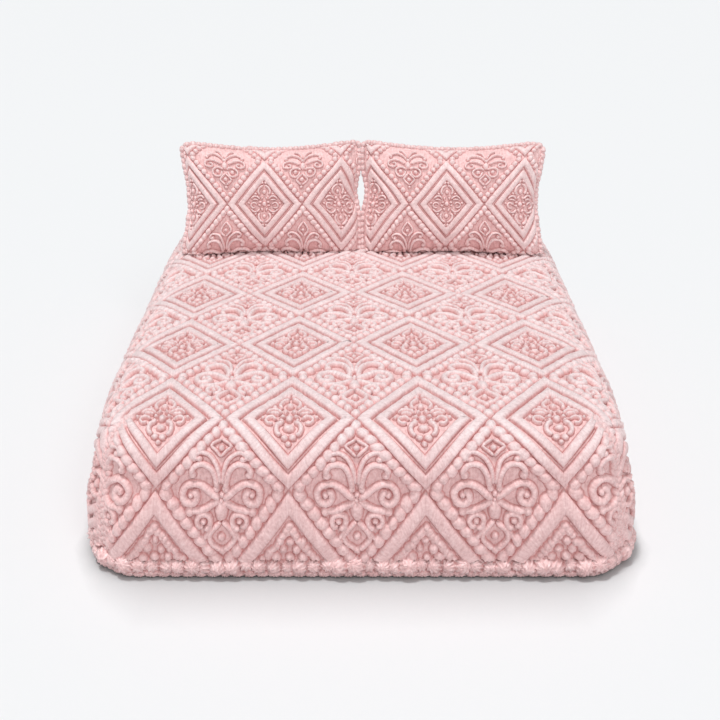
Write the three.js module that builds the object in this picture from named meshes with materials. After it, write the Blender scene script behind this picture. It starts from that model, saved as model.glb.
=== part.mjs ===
// A fitted sheet of thick carved plush pulled over a mattress, with two matching pillows at the head.
// Millimetres, +Z up. The origin is on the floor under the middle of the mattress, and the foot
// of the bed faces -Y. The cloth is described flat first, as it is cut: x across the bed and y
// along it, both measured along the cloth once they pass the edge of the flat top.

import * as THREE from "three";

// Lattice of the plush: diamonds that stand tip to tip, in rows from the foot edge to the head.
const CELL_WIDTH = 357;
const CELL_HEIGHT = 420;
const CELL_STEPS = 6; // facets between the middle of a diamond and its tip
const STEP_X = CELL_WIDTH / 2 / CELL_STEPS;
const STEP_Y = CELL_HEIGHT / 2 / CELL_STEPS;

// The flat top, counted in steps of the lattice so that its rim runs along a row of points.
const HALF_COLUMNS = 21;
const ROWS = 50;
const TOP_X = HALF_COLUMNS * STEP_X; // half the width of the flat top
const TOP_Y = (ROWS / 2) * STEP_Y; // half its length
const FIRST_TIP_Y = -TOP_Y - STEP_Y; // the lattice starts with tips one step over the foot edge

// The side of the bed, from the rim of the flat top down to the floor.
const TOP_Z = 436; // ground of the plush at the rim, where its valleys lie
const CROWN = 24; // how much higher the middle of the top is
const ROLL_OUT = 134; // the rounded edge is a quarter of an ellipse: outwards
const ROLL_DOWN = 114; // and downwards
const BULGE = 16; // how far the sides swell out
const BULGE_Z = 125; // and where they swell most
const BULGE_FOOT = 8; // how much of it is lost again at the floor
const CORNER_IN = 10; // the corners of the bed are this much softer than a round corner
const SHOULDER_IN = 19; // the upper part of the bed draws in this much towards its corners
const SHOULDER_Z = { from: 200, to: 340 }; // from none of it to all of it
const SHOULDER_ALONG = { from: 500, to: 950 }; // on the sides, measured from the middle
const SHOULDER_ACROSS = { from: 300, to: 760 }; // and on the ends
const PILE = 12; // the carved pile is this long, and lengths are taken along its tips

const CLOTH = 4; // thickness of the sheet in the valleys
const CLEARANCE = 2.5; // between the sheet and the mattress
const GAP = 0.3; // between pieces that touch
const EDGING_Z = 60; // height of the tufted edging round the foot of the sheet

// Pillows, in the pillow's own frame: a across, b up, and thickness to the front and back.
// Near says on which hand its neighbour presses against it.
const PILLOWS = [
  { name: "pillow_left", x: -348, width: 650, near: 1 },
  { name: "pillow_right", x: 355, width: 662, near: -1 },
];
const PILLOW_HEIGHT = 444;
const PILLOW_HALF_THICKNESS = 84;
const PILLOW_SIDE_IN = 26; // how far the far side draws in between the ears
const PILLOW_NEAR_IN = 10; // and the near side, which leaves a narrow gap
const NEAR_GAP = { middle: 0.17, half: 0.49 }; // where that gap lies, up the pillow
const PILLOW_TOP_IN = 34;
const PILLOW_TILT = THREE.MathUtils.degToRad(17);
const PILLOW_Y = 478;
const PILLOW_SINK = 36; // the lowest part of each pillow is pressed flat on the bed
const PILLOW_COLUMNS = 16;
const PILLOW_LAYERS = 12;

// Beaded edging along the seam of a pillow, up one side, over the top and down the other.
const BEAD = { half: 8, swell: 3, perSide: 8, perTop: 14, perEar: 2 };
const BEAD_FOOT = -0.7; // it ends low on the sides, where the seam turns in under the pillow
const SEAM_GAP = 1; // between the edging and the seam, which bends between its points

// Height of the pile over the ground along a line from the middle of a diamond to its edge.
// Framed diamonds hold a rosette in two flat bars, beaded ones a scroll in a string of beads.
const RINGS = [
  { share: 0, framed: 10, beaded: 11 },
  { share: 0.2, framed: 5, beaded: 9 },
  { share: 0.45, framed: 2, beaded: 5 },
  { share: 0.6, framed: 9, beaded: 6 },
  { share: 0.745, framed: 3, beaded: 1.5 },
  { share: 0.89, framed: 11, beaded: 9 },
  { share: 1, framed: 0, beaded: 0 },
];

// Cross-section of the edging at the foot, from the floor up: a low row of lobes under a row of tufts.
const EDGING_SECTION = [
  { z: 0, out: 5, swell: 2 },
  { z: 12, out: 10, swell: 4 },
  { z: 23, out: 7, swell: 2 },
  { z: 41, out: 12, swell: 8 },
  { z: EDGING_Z, out: 2, swell: 4 },
];
const EDGING_TUFTS = { end: 16, side: 23, corner: 3 };

const COLOURS = {
  plush: "#ecc9c8",
  edging: "#daafae",
  pillow: "#e4bcbb",
  ticking: "#e6e1da",
};

const clamp = THREE.MathUtils.clamp;
const RIGHT_ANGLE = Math.PI / 2;

// A closed surface gathered point by point.
class Skin {
  points = [];
  faces = [];

  add(point) {
    this.points.push(...point);
    return this.points.length / 3 - 1;
  }

  triangle(a, b, c) {
    if (a !== b && b !== c && c !== a) this.faces.push(a, b, c);
  }

  quad(a, b, c, d) {
    this.triangle(a, b, c);
    this.triangle(a, c, d);
  }

  mesh(name, colour) {
    const geometry = new THREE.BufferGeometry();
    geometry.setAttribute("position", new THREE.Float32BufferAttribute(this.points, 3));
    geometry.setIndex(this.faces);
    geometry.computeVertexNormals();
    const material = new THREE.MeshStandardMaterial({ color: colour, roughness: 0.95, metalness: 0 });
    const mesh = new THREE.Mesh(geometry, material);
    mesh.name = name;
    return mesh;
  }
}

// Rounded edge: the angle reached after a run down it, measured along the tips of the pile.
const ROLL_TABLE = [{ run: 0, angle: 0 }];
const ROLL_PARTS = 60;
for (let k = 1; k <= ROLL_PARTS; k++) {
  const angle = (RIGHT_ANGLE * k) / ROLL_PARTS;
  const middle = angle - RIGHT_ANGLE / ROLL_PARTS / 2;
  const speed = Math.hypot((ROLL_OUT + PILE) * Math.cos(middle), (ROLL_DOWN + PILE) * Math.sin(middle));
  ROLL_TABLE.push({ run: ROLL_TABLE[k - 1].run + (speed * RIGHT_ANGLE) / ROLL_PARTS, angle });
}
const ROLL_RUN = ROLL_TABLE[ROLL_PARTS].run;
const WALL_TOP_Z = TOP_Z - ROLL_DOWN;
const FLOOR_RUN = ROLL_RUN + WALL_TOP_Z;
const CLOTH_RUN = FLOOR_RUN - EDGING_Z - GAP; // the sheet ends on top of its edging

function rollAngle(run) {
  const next = ROLL_TABLE.findIndex((row) => row.run >= run);
  if (next <= 0) return 0;
  const [low, high] = [ROLL_TABLE[next - 1], ROLL_TABLE[next]];
  return low.angle + ((high.angle - low.angle) * (run - low.run)) / (high.run - low.run);
}

function bulge(z) {
  if (z < BULGE_Z) return BULGE - BULGE_FOOT * (1 - z / BULGE_Z) ** 2;
  return BULGE * THREE.MathUtils.smoothstep(WALL_TOP_Z - z, 0, WALL_TOP_Z - BULGE_Z);
}

// Where a run down the side leads: out from the rim of the top, and z. Lift stands off the ground.
function side(run, lift) {
  if (run > ROLL_RUN) {
    const z = TOP_Z - ROLL_DOWN - (run - ROLL_RUN);
    return { out: ROLL_OUT + bulge(z) + lift, z };
  }
  const angle = rollAngle(run);
  const slope = Math.hypot(Math.sin(angle) / ROLL_OUT, Math.cos(angle) / ROLL_DOWN);
  return {
    out: Math.sin(angle) * (ROLL_OUT + lift / ROLL_OUT / slope),
    z: TOP_Z - ROLL_DOWN + Math.cos(angle) * (ROLL_DOWN + lift / ROLL_DOWN / slope),
  };
}

// The shoulders: how far a place with this height is drawn in, by its places along and across.
function drawnIn(x, y, z) {
  const step = (value, { from, to }) => THREE.MathUtils.smoothstep(Math.abs(value), from, to);
  const high = SHOULDER_IN * step(z, SHOULDER_Z);
  const inX = high * step(y, SHOULDER_ALONG) * (x / SHOULDER_ACROSS.to) ** 4;
  const inY = high * step(x, SHOULDER_ACROSS) * (y / (TOP_Y + ROLL_OUT)) ** 4;
  return [x - Math.sign(x) * inX, y - Math.sign(y) * inY, z];
}

function crown(x, y) {
  const across = clamp(x / (TOP_X + ROLL_OUT), -1, 1);
  const along = clamp(y / (TOP_Y + ROLL_OUT), -1, 1);
  return CROWN * (1 - across ** 2) * (1 - along ** 2);
}

function cornerLoss(direction) {
  return CORNER_IN * (2 * direction.x * direction.y) ** 2;
}

// A point of the bed: from a point of the flat top, a run down the side in one direction.
function bedPoint(top, direction, run, lift) {
  const { out, z } = side(run, lift);
  const reach = out - cornerLoss(direction) * Math.min(1, run / ROLL_RUN);
  const x = top.x + direction.x * reach;
  const y = top.y + direction.y * reach;
  return drawnIn(x, y, z + crown(x, y));
}

// Flat cloth to the bed, everywhere but at the four corners.
function clothPoint(x, y, lift) {
  const top = { x: clamp(x, -TOP_X, TOP_X), y: clamp(y, -TOP_Y, TOP_Y) };
  const over = { x: x - top.x, y: y - top.y };
  const direction = { x: Math.sign(over.x), y: Math.sign(over.y) };
  return bedPoint(top, direction, Math.abs(over.x) + Math.abs(over.y), lift);
}

// The diamond that a place of the flat cloth lies in, and its share of the way to the edge.
function diamond(x, y) {
  const u = x / (CELL_WIDTH / 2);
  const v = (y - FIRST_TIP_Y) / (CELL_HEIGHT / 2);
  const m = Math.floor((u + v) / 2);
  const n = Math.floor((u - v) / 2);
  const middle = { u: m + n + 1, v: m - n };
  const share = Math.abs(u - middle.u) + Math.abs(v - middle.v);
  return { u, v, middle, share, kind: (m + n) % 2 === 0 ? "framed" : "beaded" };
}

function pileHeight(kind, share) {
  const next = Math.max(1, RINGS.findIndex((ring) => ring.share >= share - 1e-6));
  const [low, high] = [RINGS[next - 1], RINGS[next]];
  const part = clamp((share - low.share) / (high.share - low.share), 0, 1);
  return THREE.MathUtils.lerp(low[kind], high[kind], part);
}

// A lattice point moved along its line from the middle, so that it falls on a ring of the carving.
function carvedPoint(x, y) {
  const cell = diamond(x, y);
  const ring = Math.round(cell.share * CELL_STEPS);
  const stretch = ring ? (RINGS[ring].share * CELL_STEPS) / ring : 1;
  const u = cell.middle.u + (cell.u - cell.middle.u) * stretch;
  const v = cell.middle.v + (cell.v - cell.middle.v) * stretch;
  const lift = pileHeight(cell.kind, RINGS[ring].share);
  return clothPoint((u * CELL_WIDTH) / 2, FIRST_TIP_Y + (v * CELL_HEIGHT) / 2, lift);
}

// Rows of points over the side: whole steps of the lattice, then the cloth's lower edge.
const END_ROWS = Math.round(CLOTH_RUN / STEP_Y);
const SIDE_ROWS = Math.round(CLOTH_RUN / STEP_X);
const endRun = (row) => (row === END_ROWS ? CLOTH_RUN : row * STEP_Y);
const sideRun = (row) => (row === SIDE_ROWS ? CLOTH_RUN : row * STEP_X);

function columnX(column) {
  const over = Math.abs(column) - HALF_COLUMNS;
  return over > 0 ? Math.sign(column) * (TOP_X + sideRun(over)) : column * STEP_X;
}

function rowY(row) {
  if (row < 0) return -TOP_Y - endRun(-row);
  if (row > ROWS) return TOP_Y + endRun(row - ROWS);
  return row * STEP_Y - TOP_Y;
}

// Eight stretches round the bed: foot, corner, right side, corner, head, corner, left side, corner.
const CORNERS = [
  { x: -TOP_X, y: -TOP_Y },
  { x: TOP_X, y: -TOP_Y },
  { x: TOP_X, y: TOP_Y },
  { x: -TOP_X, y: TOP_Y },
];

function station(stretch, share) {
  const quarter = Math.floor(stretch / 2);
  const atCorner = stretch % 2 === 1;
  const angle = (quarter - 1 + (atCorner ? share : 0)) * RIGHT_ANGLE;
  const direction = { x: Math.cos(angle), y: Math.sin(angle) };
  const from = CORNERS[atCorner ? (quarter + 1) % 4 : quarter];
  const to = CORNERS[(quarter + 1) % 4];
  const top = {
    x: THREE.MathUtils.lerp(from.x, to.x, share),
    y: THREE.MathUtils.lerp(from.y, to.y, share),
  };
  return { top, direction, place: stretch + share };
}

// Stations all round, with so many parts on an end, on a side and on a corner.
function stationsRound(parts) {
  const all = [];
  for (let stretch = 0; stretch < 8; stretch++) {
    const count = stretch % 2 ? parts.corner : stretch % 4 ? parts.side : parts.end;
    for (let k = 0; k < count; k++) all.push(station(stretch, k / count));
  }
  return all;
}

// A plain skin over the bed at a small depth under the ground, with few facets.
const PLAIN_PARTS = { end: 6, side: 8, corner: 3 };

function plainSkin(skin, depth, rows, inward) {
  const { end, side: along } = PLAIN_PARTS;
  const grid = [];
  for (let i = 0; i <= end; i++) {
    grid.push([]);
    for (let j = 0; j <= along; j++) {
      const x = THREE.MathUtils.lerp(-TOP_X, TOP_X, i / end);
      const y = THREE.MathUtils.lerp(-TOP_Y, TOP_Y, j / along);
      grid[i].push(skin.add(clothPoint(x, y, -depth)));
    }
  }
  const face = (a, b, c, d) => (inward ? skin.quad(a, d, c, b) : skin.quad(a, b, c, d));
  for (let i = 0; i < end; i++)
    for (let j = 0; j < along; j++)
      face(grid[i][j], grid[i + 1][j], grid[i + 1][j + 1], grid[i][j + 1]);

  const stations = stationsRound(PLAIN_PARTS);
  const column = (x) => Math.round(((x + TOP_X) / 2 / TOP_X) * end);
  const line = (y) => Math.round(((y + TOP_Y) / 2 / TOP_Y) * along);
  let ring = stations.map(({ top }) => grid[column(top.x)][line(top.y)]);
  for (const row of rows) {
    const next = stations.map(({ top, direction }) =>
      skin.add(bedPoint(top, direction, row.run, -depth - (row.inset ?? 0))),
    );
    ring.forEach((point, k) => {
      const after = (k + 1) % ring.length;
      face(ring[after], point, next[k], next[after]);
    });
    ring = next;
  }
  return ring.map((index, k) => ({ index, place: stations[k].place }));
}

const SKIN_ROWS = [0.25, 0.5, 0.75, 1].map((share) => ({ run: ROLL_RUN * share }));
const WALL_ROWS = [0.22, 0.47, 0.75].map((share) => ({ run: ROLL_RUN + (CLOTH_RUN - ROLL_RUN) * share }));

function mattress() {
  const skin = new Skin();
  const rows = [
    ...SKIN_ROWS,
    ...WALL_ROWS,
    { run: CLOTH_RUN },
    { run: FLOOR_RUN - 18 },
    { run: FLOOR_RUN, inset: 18 },
  ];
  const foot = plainSkin(skin, CLOTH + CLEARANCE, rows, false);
  const middle = skin.add([0, 0, 0]);
  foot.forEach(({ index }, k) => skin.triangle(index, middle, foot[(k + 1) % foot.length].index));
  return skin.mesh("mattress", COLOURS.ticking);
}

// The ruled band between two closed rings of points, both in order round the bed.
function band(skin, upper, lower) {
  let [i, j] = [0, 0];
  while (i < upper.length || j < lower.length) {
    const a = upper[i % upper.length].index;
    const b = lower[j % lower.length].index;
    const nextUpper = i < upper.length ? (upper[i + 1]?.place ?? 8) : Infinity;
    const nextLower = j < lower.length ? (lower[j + 1]?.place ?? 8) : Infinity;
    if (nextUpper <= nextLower) skin.triangle(a, b, upper[++i % upper.length].index);
    else skin.triangle(a, b, lower[++j % lower.length].index);
  }
}

// The sheet: its carved outer face, with a dart at each corner, and a plain inner face.
const DART_COLUMNS = 3;
const DART_ANGLE = THREE.MathUtils.degToRad(43.5);
const DART_PILE = 0.4; // the pile lies low where a corner is sewn in

function fittedSheet() {
  const skin = new Skin();
  const grid = new Map();
  const at = (column, row) => grid.get(`${column},${row}`);
  const lastColumn = HALF_COLUMNS + SIDE_ROWS;
  for (let column = -lastColumn; column <= lastColumn; column++) {
    for (let row = -END_ROWS; row <= ROWS + END_ROWS; row++) {
      const overSide = Math.abs(column) - HALF_COLUMNS;
      const overEnd = Math.max(-row, row - ROWS);
      if (overSide > 0 && overEnd > 0) continue;
      const x = columnX(column);
      const y = rowY(row);
      const fixed = overSide >= SIDE_ROWS - 1 || overEnd >= END_ROWS - 1 || (overSide >= 0 && overEnd >= 0);
      const { kind, share } = diamond(x, y);
      const point = fixed ? clothPoint(x, y, pileHeight(kind, Math.min(share, 1))) : carvedPoint(x, y);
      grid.set(`${column},${row}`, skin.add(point));
    }
  }
  for (let column = -lastColumn; column < lastColumn; column++) {
    for (let row = -END_ROWS; row < ROWS + END_ROWS; row++) {
      const [a, b] = [at(column, row), at(column + 1, row)];
      const [d, c] = [at(column, row + 1), at(column + 1, row + 1)];
      if ([a, b, c, d].includes(undefined)) continue;
      const { u, v, middle } = diamond(
        (columnX(column) + columnX(column + 1)) / 2,
        (rowY(row) + rowY(row + 1)) / 2,
      );
      if ((u - middle.u) * (v - middle.v) > 0) skin.quad(b, c, d, a);
      else skin.quad(a, b, c, d);
    }
  }

  const lowerEdge = [];
  for (let quarter = 0; quarter < 4; quarter++) {
    lowerEdge.push(...straightEdge(quarter, at), ...cornerDart(skin, quarter, at));
  }
  const inner = plainSkin(skin, CLOTH, [...SKIN_ROWS, ...WALL_ROWS, { run: CLOTH_RUN }], true);
  band(skin, lowerEdge, inner);
  return skin.mesh("fitted_sheet", COLOURS.plush);
}

// Points of the lower edge along one straight side of the bed, in order round it.
function straightEdge(quarter, at) {
  const points = [];
  const alongEnd = quarter % 2 === 0;
  const count = alongEnd ? 2 * HALF_COLUMNS : ROWS;
  for (let k = 0; k < count; k++) {
    const forward = quarter < 2 ? k : count - k;
    const index = alongEnd
      ? at(forward - HALF_COLUMNS, quarter === 0 ? -END_ROWS : ROWS + END_ROWS)
      : at(quarter === 1 ? HALF_COLUMNS + SIDE_ROWS : -HALF_COLUMNS - SIDE_ROWS, forward);
    points.push({ index, place: 2 * quarter + k / count });
  }
  return points;
}

// One corner: columns of points turn round it from either side and meet in a dart.
function cornerDart(skin, quarter, at) {
  const corner = CORNERS[(quarter + 1) % 4];
  const start = (quarter - 1) * RIGHT_ANGLE;
  const signX = Math.sign(corner.x);
  const signY = Math.sign(corner.y);
  const endFirst = quarter % 2 === 0;

  const turned = (turn, run, onEnd) => {
    const { out } = side(run, 0);
    const x = onEnd ? TOP_X + out * turn : TOP_X + run;
    const y = onEnd ? TOP_Y + run : TOP_Y + out * turn;
    const { kind, share } = diamond(signX * x, signY * y);
    const low = THREE.MathUtils.lerp(1, DART_PILE, (turn / DART_ANGLE) ** 3);
    const angle = onEnd === endFirst ? start + turn : start + RIGHT_ANGLE - turn;
    const direction = { x: Math.cos(angle), y: Math.sin(angle) };
    return skin.add(bedPoint(corner, direction, run, low * pileHeight(kind, Math.min(share, 1))));
  };

  const cornerColumn = signX * HALF_COLUMNS;
  const cornerRow = signY < 0 ? 0 : ROWS;
  const columnsOf = (onEnd) => {
    const rows = onEnd ? END_ROWS : SIDE_ROWS;
    const runOf = onEnd ? endRun : sideRun;
    const straight = [];
    for (let row = 1; row <= rows; row++)
      straight.push(
        onEnd ? at(cornerColumn, cornerRow + signY * row) : at(cornerColumn + signX * row, cornerRow),
      );
    const columns = [straight];
    for (let k = 1; k <= DART_COLUMNS; k++)
      columns.push(straight.map((_, row) => turned((DART_ANGLE * k) / DART_COLUMNS, runOf(row + 1), onEnd)));
    return columns;
  };

  const peak = at(cornerColumn, cornerRow);
  const first = columnsOf(endFirst);
  const second = columnsOf(!endFirst).reverse();
  for (const columns of [first, second]) {
    for (let k = 0; k < DART_COLUMNS; k++) {
      const [left, right] = [columns[k], columns[k + 1]];
      skin.triangle(peak, left[0], right[0]);
      for (let row = 1; row < left.length; row++)
        skin.quad(left[row - 1], left[row], right[row], right[row - 1]);
    }
  }

  const [left, right] = [first.at(-1), second[0]];
  const [leftRun, rightRun] = endFirst ? [endRun, sideRun] : [sideRun, endRun];
  let [i, j] = [0, 0];
  skin.triangle(peak, left[0], right[0]);
  while (i < left.length - 1 || j < right.length - 1) {
    const nextLeft = i < left.length - 1 ? leftRun(i + 2) : Infinity;
    const nextRight = j < right.length - 1 ? rightRun(j + 2) : Infinity;
    if (nextLeft <= nextRight) skin.triangle(left[i], left[++i], right[j]);
    else skin.triangle(left[i], right[j + 1], right[j++]);
  }

  const place = (turn) => 2 * quarter + 1 + turn / RIGHT_ANGLE;
  const edge = [{ index: first[0].at(-1), place: place(0) }];
  for (let k = 1; k <= DART_COLUMNS; k++)
    edge.push({ index: first[k].at(-1), place: place((DART_ANGLE * k) / DART_COLUMNS) });
  for (let k = 0; k < DART_COLUMNS; k++)
    edge.push({
      index: second[k].at(-1),
      place: place(RIGHT_ANGLE - (DART_ANGLE * (DART_COLUMNS - k)) / DART_COLUMNS),
    });
  return edge;
}

// The tufted edging: one closed ring on the floor that the lower edge of the sheet sits on.
function footEdging() {
  const skin = new Skin();
  const { end, side: along, corner } = EDGING_TUFTS;
  const stations = stationsRound({ end: 2 * end, side: 2 * along, corner: 2 * corner });
  const rings = stations.map(({ top, direction }, k) => {
    const tuft = k % 2; // a station in the middle of a tuft, or in the dip between two
    const place = (z, out) => {
      const reach = ROLL_OUT + bulge(z) + out - cornerLoss(direction);
      return skin.add([top.x + direction.x * reach, top.y + direction.y * reach, z]);
    };
    const outside = EDGING_SECTION.map(({ z, out, swell }) => place(z, out + swell * tuft));
    return [...outside, place(EDGING_Z, -CLOTH), place(0, -CLOTH)];
  });
  rings.forEach((ring, k) => {
    const next = rings[(k + 1) % rings.length];
    ring.forEach((point, m) => {
      const above = (m + 1) % ring.length;
      skin.quad(point, next[m], next[above], ring[above]);
    });
  });
  return skin.mesh("foot_edging", COLOURS.edging);
}

// A pillow stands on its long side and leans back; its lowest part lies flat on the bed.
function pillowFrame({ x }) {
  const up = new THREE.Vector3(0, Math.sin(PILLOW_TILT), Math.cos(PILLOW_TILT));
  const front = new THREE.Vector3(0, -Math.cos(PILLOW_TILT), Math.sin(PILLOW_TILT));
  const across = new THREE.Vector3(1, 0, 0);
  const stand = (PILLOW_HEIGHT / 2 - PILLOW_SINK) * Math.cos(PILLOW_TILT);
  const middle = new THREE.Vector3(x, PILLOW_Y, TOP_Z + crown(x, PILLOW_Y) + PILE + stand);
  return { middle, across, up, front };
}

// The seam of a pillow for a and b from -1 to 1, and inside it the lines that follow its form.
function pillowOutline({ width, near }, a, b) {
  const gap = Math.cos(clamp((b - NEAR_GAP.middle) / NEAR_GAP.half, -1, 1) * RIGHT_ANGLE) ** 2;
  const sideIn = a * near > 0 ? PILLOW_NEAR_IN * gap : PILLOW_SIDE_IN * (1 - b ** 2);
  return {
    x: a * (width / 2 - sideIn),
    y: b * (PILLOW_HEIGHT / 2 - PILLOW_TOP_IN * (1 - Math.abs(a) ** 2.4)),
  };
}

// How full the pillow is: it is thickest a little below the middle, where its weight settles.
function pillowFill(a, b) {
  const level = b > 0 ? Math.abs(b) ** 2.6 : Math.abs(b) ** 4;
  return Math.max(0, (1 - Math.abs(a) ** 3) * (1 - level)) ** 0.6;
}

function pillowPoint(frame, across, up, out) {
  const point = frame.middle
    .clone()
    .addScaledVector(frame.across, across)
    .addScaledVector(frame.up, up)
    .addScaledVector(frame.front, out);
  const bed = TOP_Z + crown(point.x, point.y) + PILE + 1;
  point.z = Math.max(point.z, bed);
  return point.toArray();
}

function pillow(form) {
  const skin = new Skin();
  const frame = pillowFrame(form);
  // Closer together towards the seam, where the form turns.
  const spread = (k, count) => {
    const turn = 0.8 * RIGHT_ANGLE;
    return Math.sin(((2 * k) / count - 1) * turn) / Math.sin(turn);
  };
  const onSeam = (i, j) => i % PILLOW_COLUMNS === 0 || j % PILLOW_LAYERS === 0;
  const face = (hand, seam) => {
    const grid = [];
    for (let i = 0; i <= PILLOW_COLUMNS; i++) {
      grid.push([]);
      for (let j = 0; j <= PILLOW_LAYERS; j++) {
        const [a, b] = [spread(i, PILLOW_COLUMNS), spread(j, PILLOW_LAYERS)];
        const { x, y } = pillowOutline(form, a, b);
        const out = hand * PILLOW_HALF_THICKNESS * pillowFill(a, b);
        const shared = seam && onSeam(i, j);
        grid[i].push(shared ? seam[i][j] : skin.add(pillowPoint(frame, x, y, out)));
      }
    }
    return grid;
  };
  const front = face(1, null);
  const back = face(-1, front);
  for (let i = 0; i < PILLOW_COLUMNS; i++) {
    for (let j = 0; j < PILLOW_LAYERS; j++) {
      skin.quad(front[i][j], front[i + 1][j], front[i + 1][j + 1], front[i][j + 1]);
      skin.quad(back[i][j], back[i][j + 1], back[i + 1][j + 1], back[i + 1][j]);
    }
  }
  return skin.mesh(form.name, COLOURS.pillow);
}

// Places along the seam of a pillow with the direction that points away from it there.
function seamPlaces(form) {
  const places = [];
  const along = (from, to, count) => {
    for (let k = 0; k <= count; k++) {
      const share = k / count;
      const at = [0, 0.001].map((more) => {
        const a = THREE.MathUtils.lerp(from.a, to.a, share + more);
        const b = THREE.MathUtils.lerp(from.b, to.b, share + more);
        return pillowOutline(form, a, b);
      });
      const away = new THREE.Vector2(at[0].y - at[1].y, at[1].x - at[0].x).normalize();
      places.push({ x: at[0].x, y: at[0].y, away });
    }
  };
  const round = (count) => {
    const { x, y, away } = places.at(-1);
    const turn = RIGHT_ANGLE / (count + 1);
    const still = new THREE.Vector2();
    for (let k = 1; k <= count; k++)
      places.push({ x, y, away: away.clone().rotateAround(still, -turn * k) });
  };
  along({ a: -1, b: BEAD_FOOT }, { a: -1, b: 1 }, 2 * BEAD.perSide);
  round(BEAD.perEar);
  along({ a: -1, b: 1 }, { a: 1, b: 1 }, 2 * BEAD.perTop);
  round(BEAD.perEar);
  along({ a: 1, b: 1 }, { a: 1, b: BEAD_FOOT }, 2 * BEAD.perSide);
  return places;
}

function pillowEdging(form) {
  const skin = new Skin();
  const frame = pillowFrame(form);
  const stand = BEAD.half + BEAD.swell + SEAM_GAP; // from the seam to the middle of the beads
  const rings = seamPlaces(form).map(({ x, y, away }, k) => {
    const half = BEAD.half + BEAD.swell * (k % 2);
    const corner = (outward, forward) => {
      const reach = stand + outward * half;
      return skin.add(pillowPoint(frame, x + away.x * reach, y + away.y * reach, forward * half));
    };
    return [corner(1, 0), corner(0, 1), corner(-1, 0), corner(0, -1)];
  });
  for (let k = 1; k < rings.length; k++) {
    const [low, high] = [rings[k - 1], rings[k]];
    low.forEach((point, m) => {
      const next = (m + 1) % low.length;
      skin.quad(point, low[next], high[next], high[m]);
    });
  }
  skin.quad(...rings[0].toReversed());
  skin.quad(...rings.at(-1));
  return skin.mesh(`${form.name}_edging`, COLOURS.edging);
}

const group = new THREE.Group();
group.add(mattress(), fittedSheet(), footEdging());
for (const form of PILLOWS) group.add(pillow(form), pillowEdging(form));

export default group;
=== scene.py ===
"""Dresses a fitted sheet set: carved plush over a mattress, a tufted edging at its foot and two pillows.

Metres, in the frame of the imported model: the foot of the bed faces -Y, and +Z is up. The cloth is
described flat, as it is cut, and every carving is made flat and then laid on the bed or a pillow.
"""

import math

import bpy
import numpy as np
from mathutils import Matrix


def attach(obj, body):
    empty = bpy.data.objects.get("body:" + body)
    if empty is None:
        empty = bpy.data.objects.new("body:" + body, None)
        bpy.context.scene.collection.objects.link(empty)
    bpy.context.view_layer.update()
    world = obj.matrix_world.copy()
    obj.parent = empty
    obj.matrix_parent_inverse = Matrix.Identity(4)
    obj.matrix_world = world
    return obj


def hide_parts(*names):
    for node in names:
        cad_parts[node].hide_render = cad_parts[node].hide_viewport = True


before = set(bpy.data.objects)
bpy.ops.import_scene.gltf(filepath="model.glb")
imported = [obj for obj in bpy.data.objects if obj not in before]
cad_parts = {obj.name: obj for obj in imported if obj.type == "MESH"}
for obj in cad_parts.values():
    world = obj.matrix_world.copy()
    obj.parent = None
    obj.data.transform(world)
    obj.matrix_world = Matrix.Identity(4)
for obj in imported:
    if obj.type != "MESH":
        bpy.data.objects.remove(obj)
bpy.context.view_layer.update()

bl_info = {
    "name": "Fitted sheet set",
    "version": (1, 0, 0),
    "blender": (4, 5, 0),
    "location": "View3D > Sidebar > Bedding",
    "description": "Carved plush, edging, pillows and studio for a fitted sheet on a mattress",
    "category": "Add Mesh",
}

RIGHT_ANGLE = math.pi / 2


def table(columns, *rows):
    """Rows of values under named columns."""
    return [dict(zip(columns.split(), row)) for row in rows]


# Lattice of the plush: diamonds that stand tip to tip.
CELL_WIDTH = 0.357
CELL_HEIGHT = 0.420

# How the lattice lies once it is pulled over the bed, for each length of the cloth: how far it has
# moved along and across, and how much it has widened.
PATTERN_LIE = table(
    "y along across widen",
    (-1.40, -0.093, -0.0100, 0.080),
    (-1.33, -0.072, -0.0100, 0.074),
    (-1.12, -0.010, -0.0125, 0.045),
    (-0.91, -0.001, -0.0145, 0.024),
    (-0.70, 0.036, -0.0185, 0.022),
    (-0.49, 0.044, -0.0200, 0.018),
    (-0.28, 0.048, -0.0225, 0.009),
    (-0.07, 0.038, -0.0280, 0.004),
    (0.14, 0.042, -0.0320, 0.000),
    (0.60, 0.042, -0.0320, 0.000),
)
PATTERN_BEND = 0.033  # and how much it bends across

# The bed: its flat top, its rounded edge and its swelling sides.
TOP_X = 21 * CELL_WIDTH / 12
TOP_Y = 25 * CELL_HEIGHT / 12
FIRST_TIP_Y = -TOP_Y - CELL_HEIGHT / 12
TOP_Z = 0.436
CROWN = 0.024
ROLL_OUT = 0.134
ROLL_DOWN = 0.114
BULGE = 0.016
BULGE_Z = 0.125
BULGE_FOOT = 0.008
CORNER_IN = 0.010
PILE = 0.012
WALL_TOP_Z = TOP_Z - ROLL_DOWN
EDGING_Z = 0.060
CLOTH = 0.003
SHOULDER_IN = 0.019  # the shoulders draw in this much towards the four corners
SHOULDER_Z = (0.20, 0.34)  # from none of it to all of it
SHOULDER_ALONG = (0.50, 0.95)  # on the sides, measured from the middle
SHOULDER_ACROSS = (0.30, 0.76)  # and on the ends
SHOULDER_HALF = {"x": 0.76, "y": 1.01}

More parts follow.
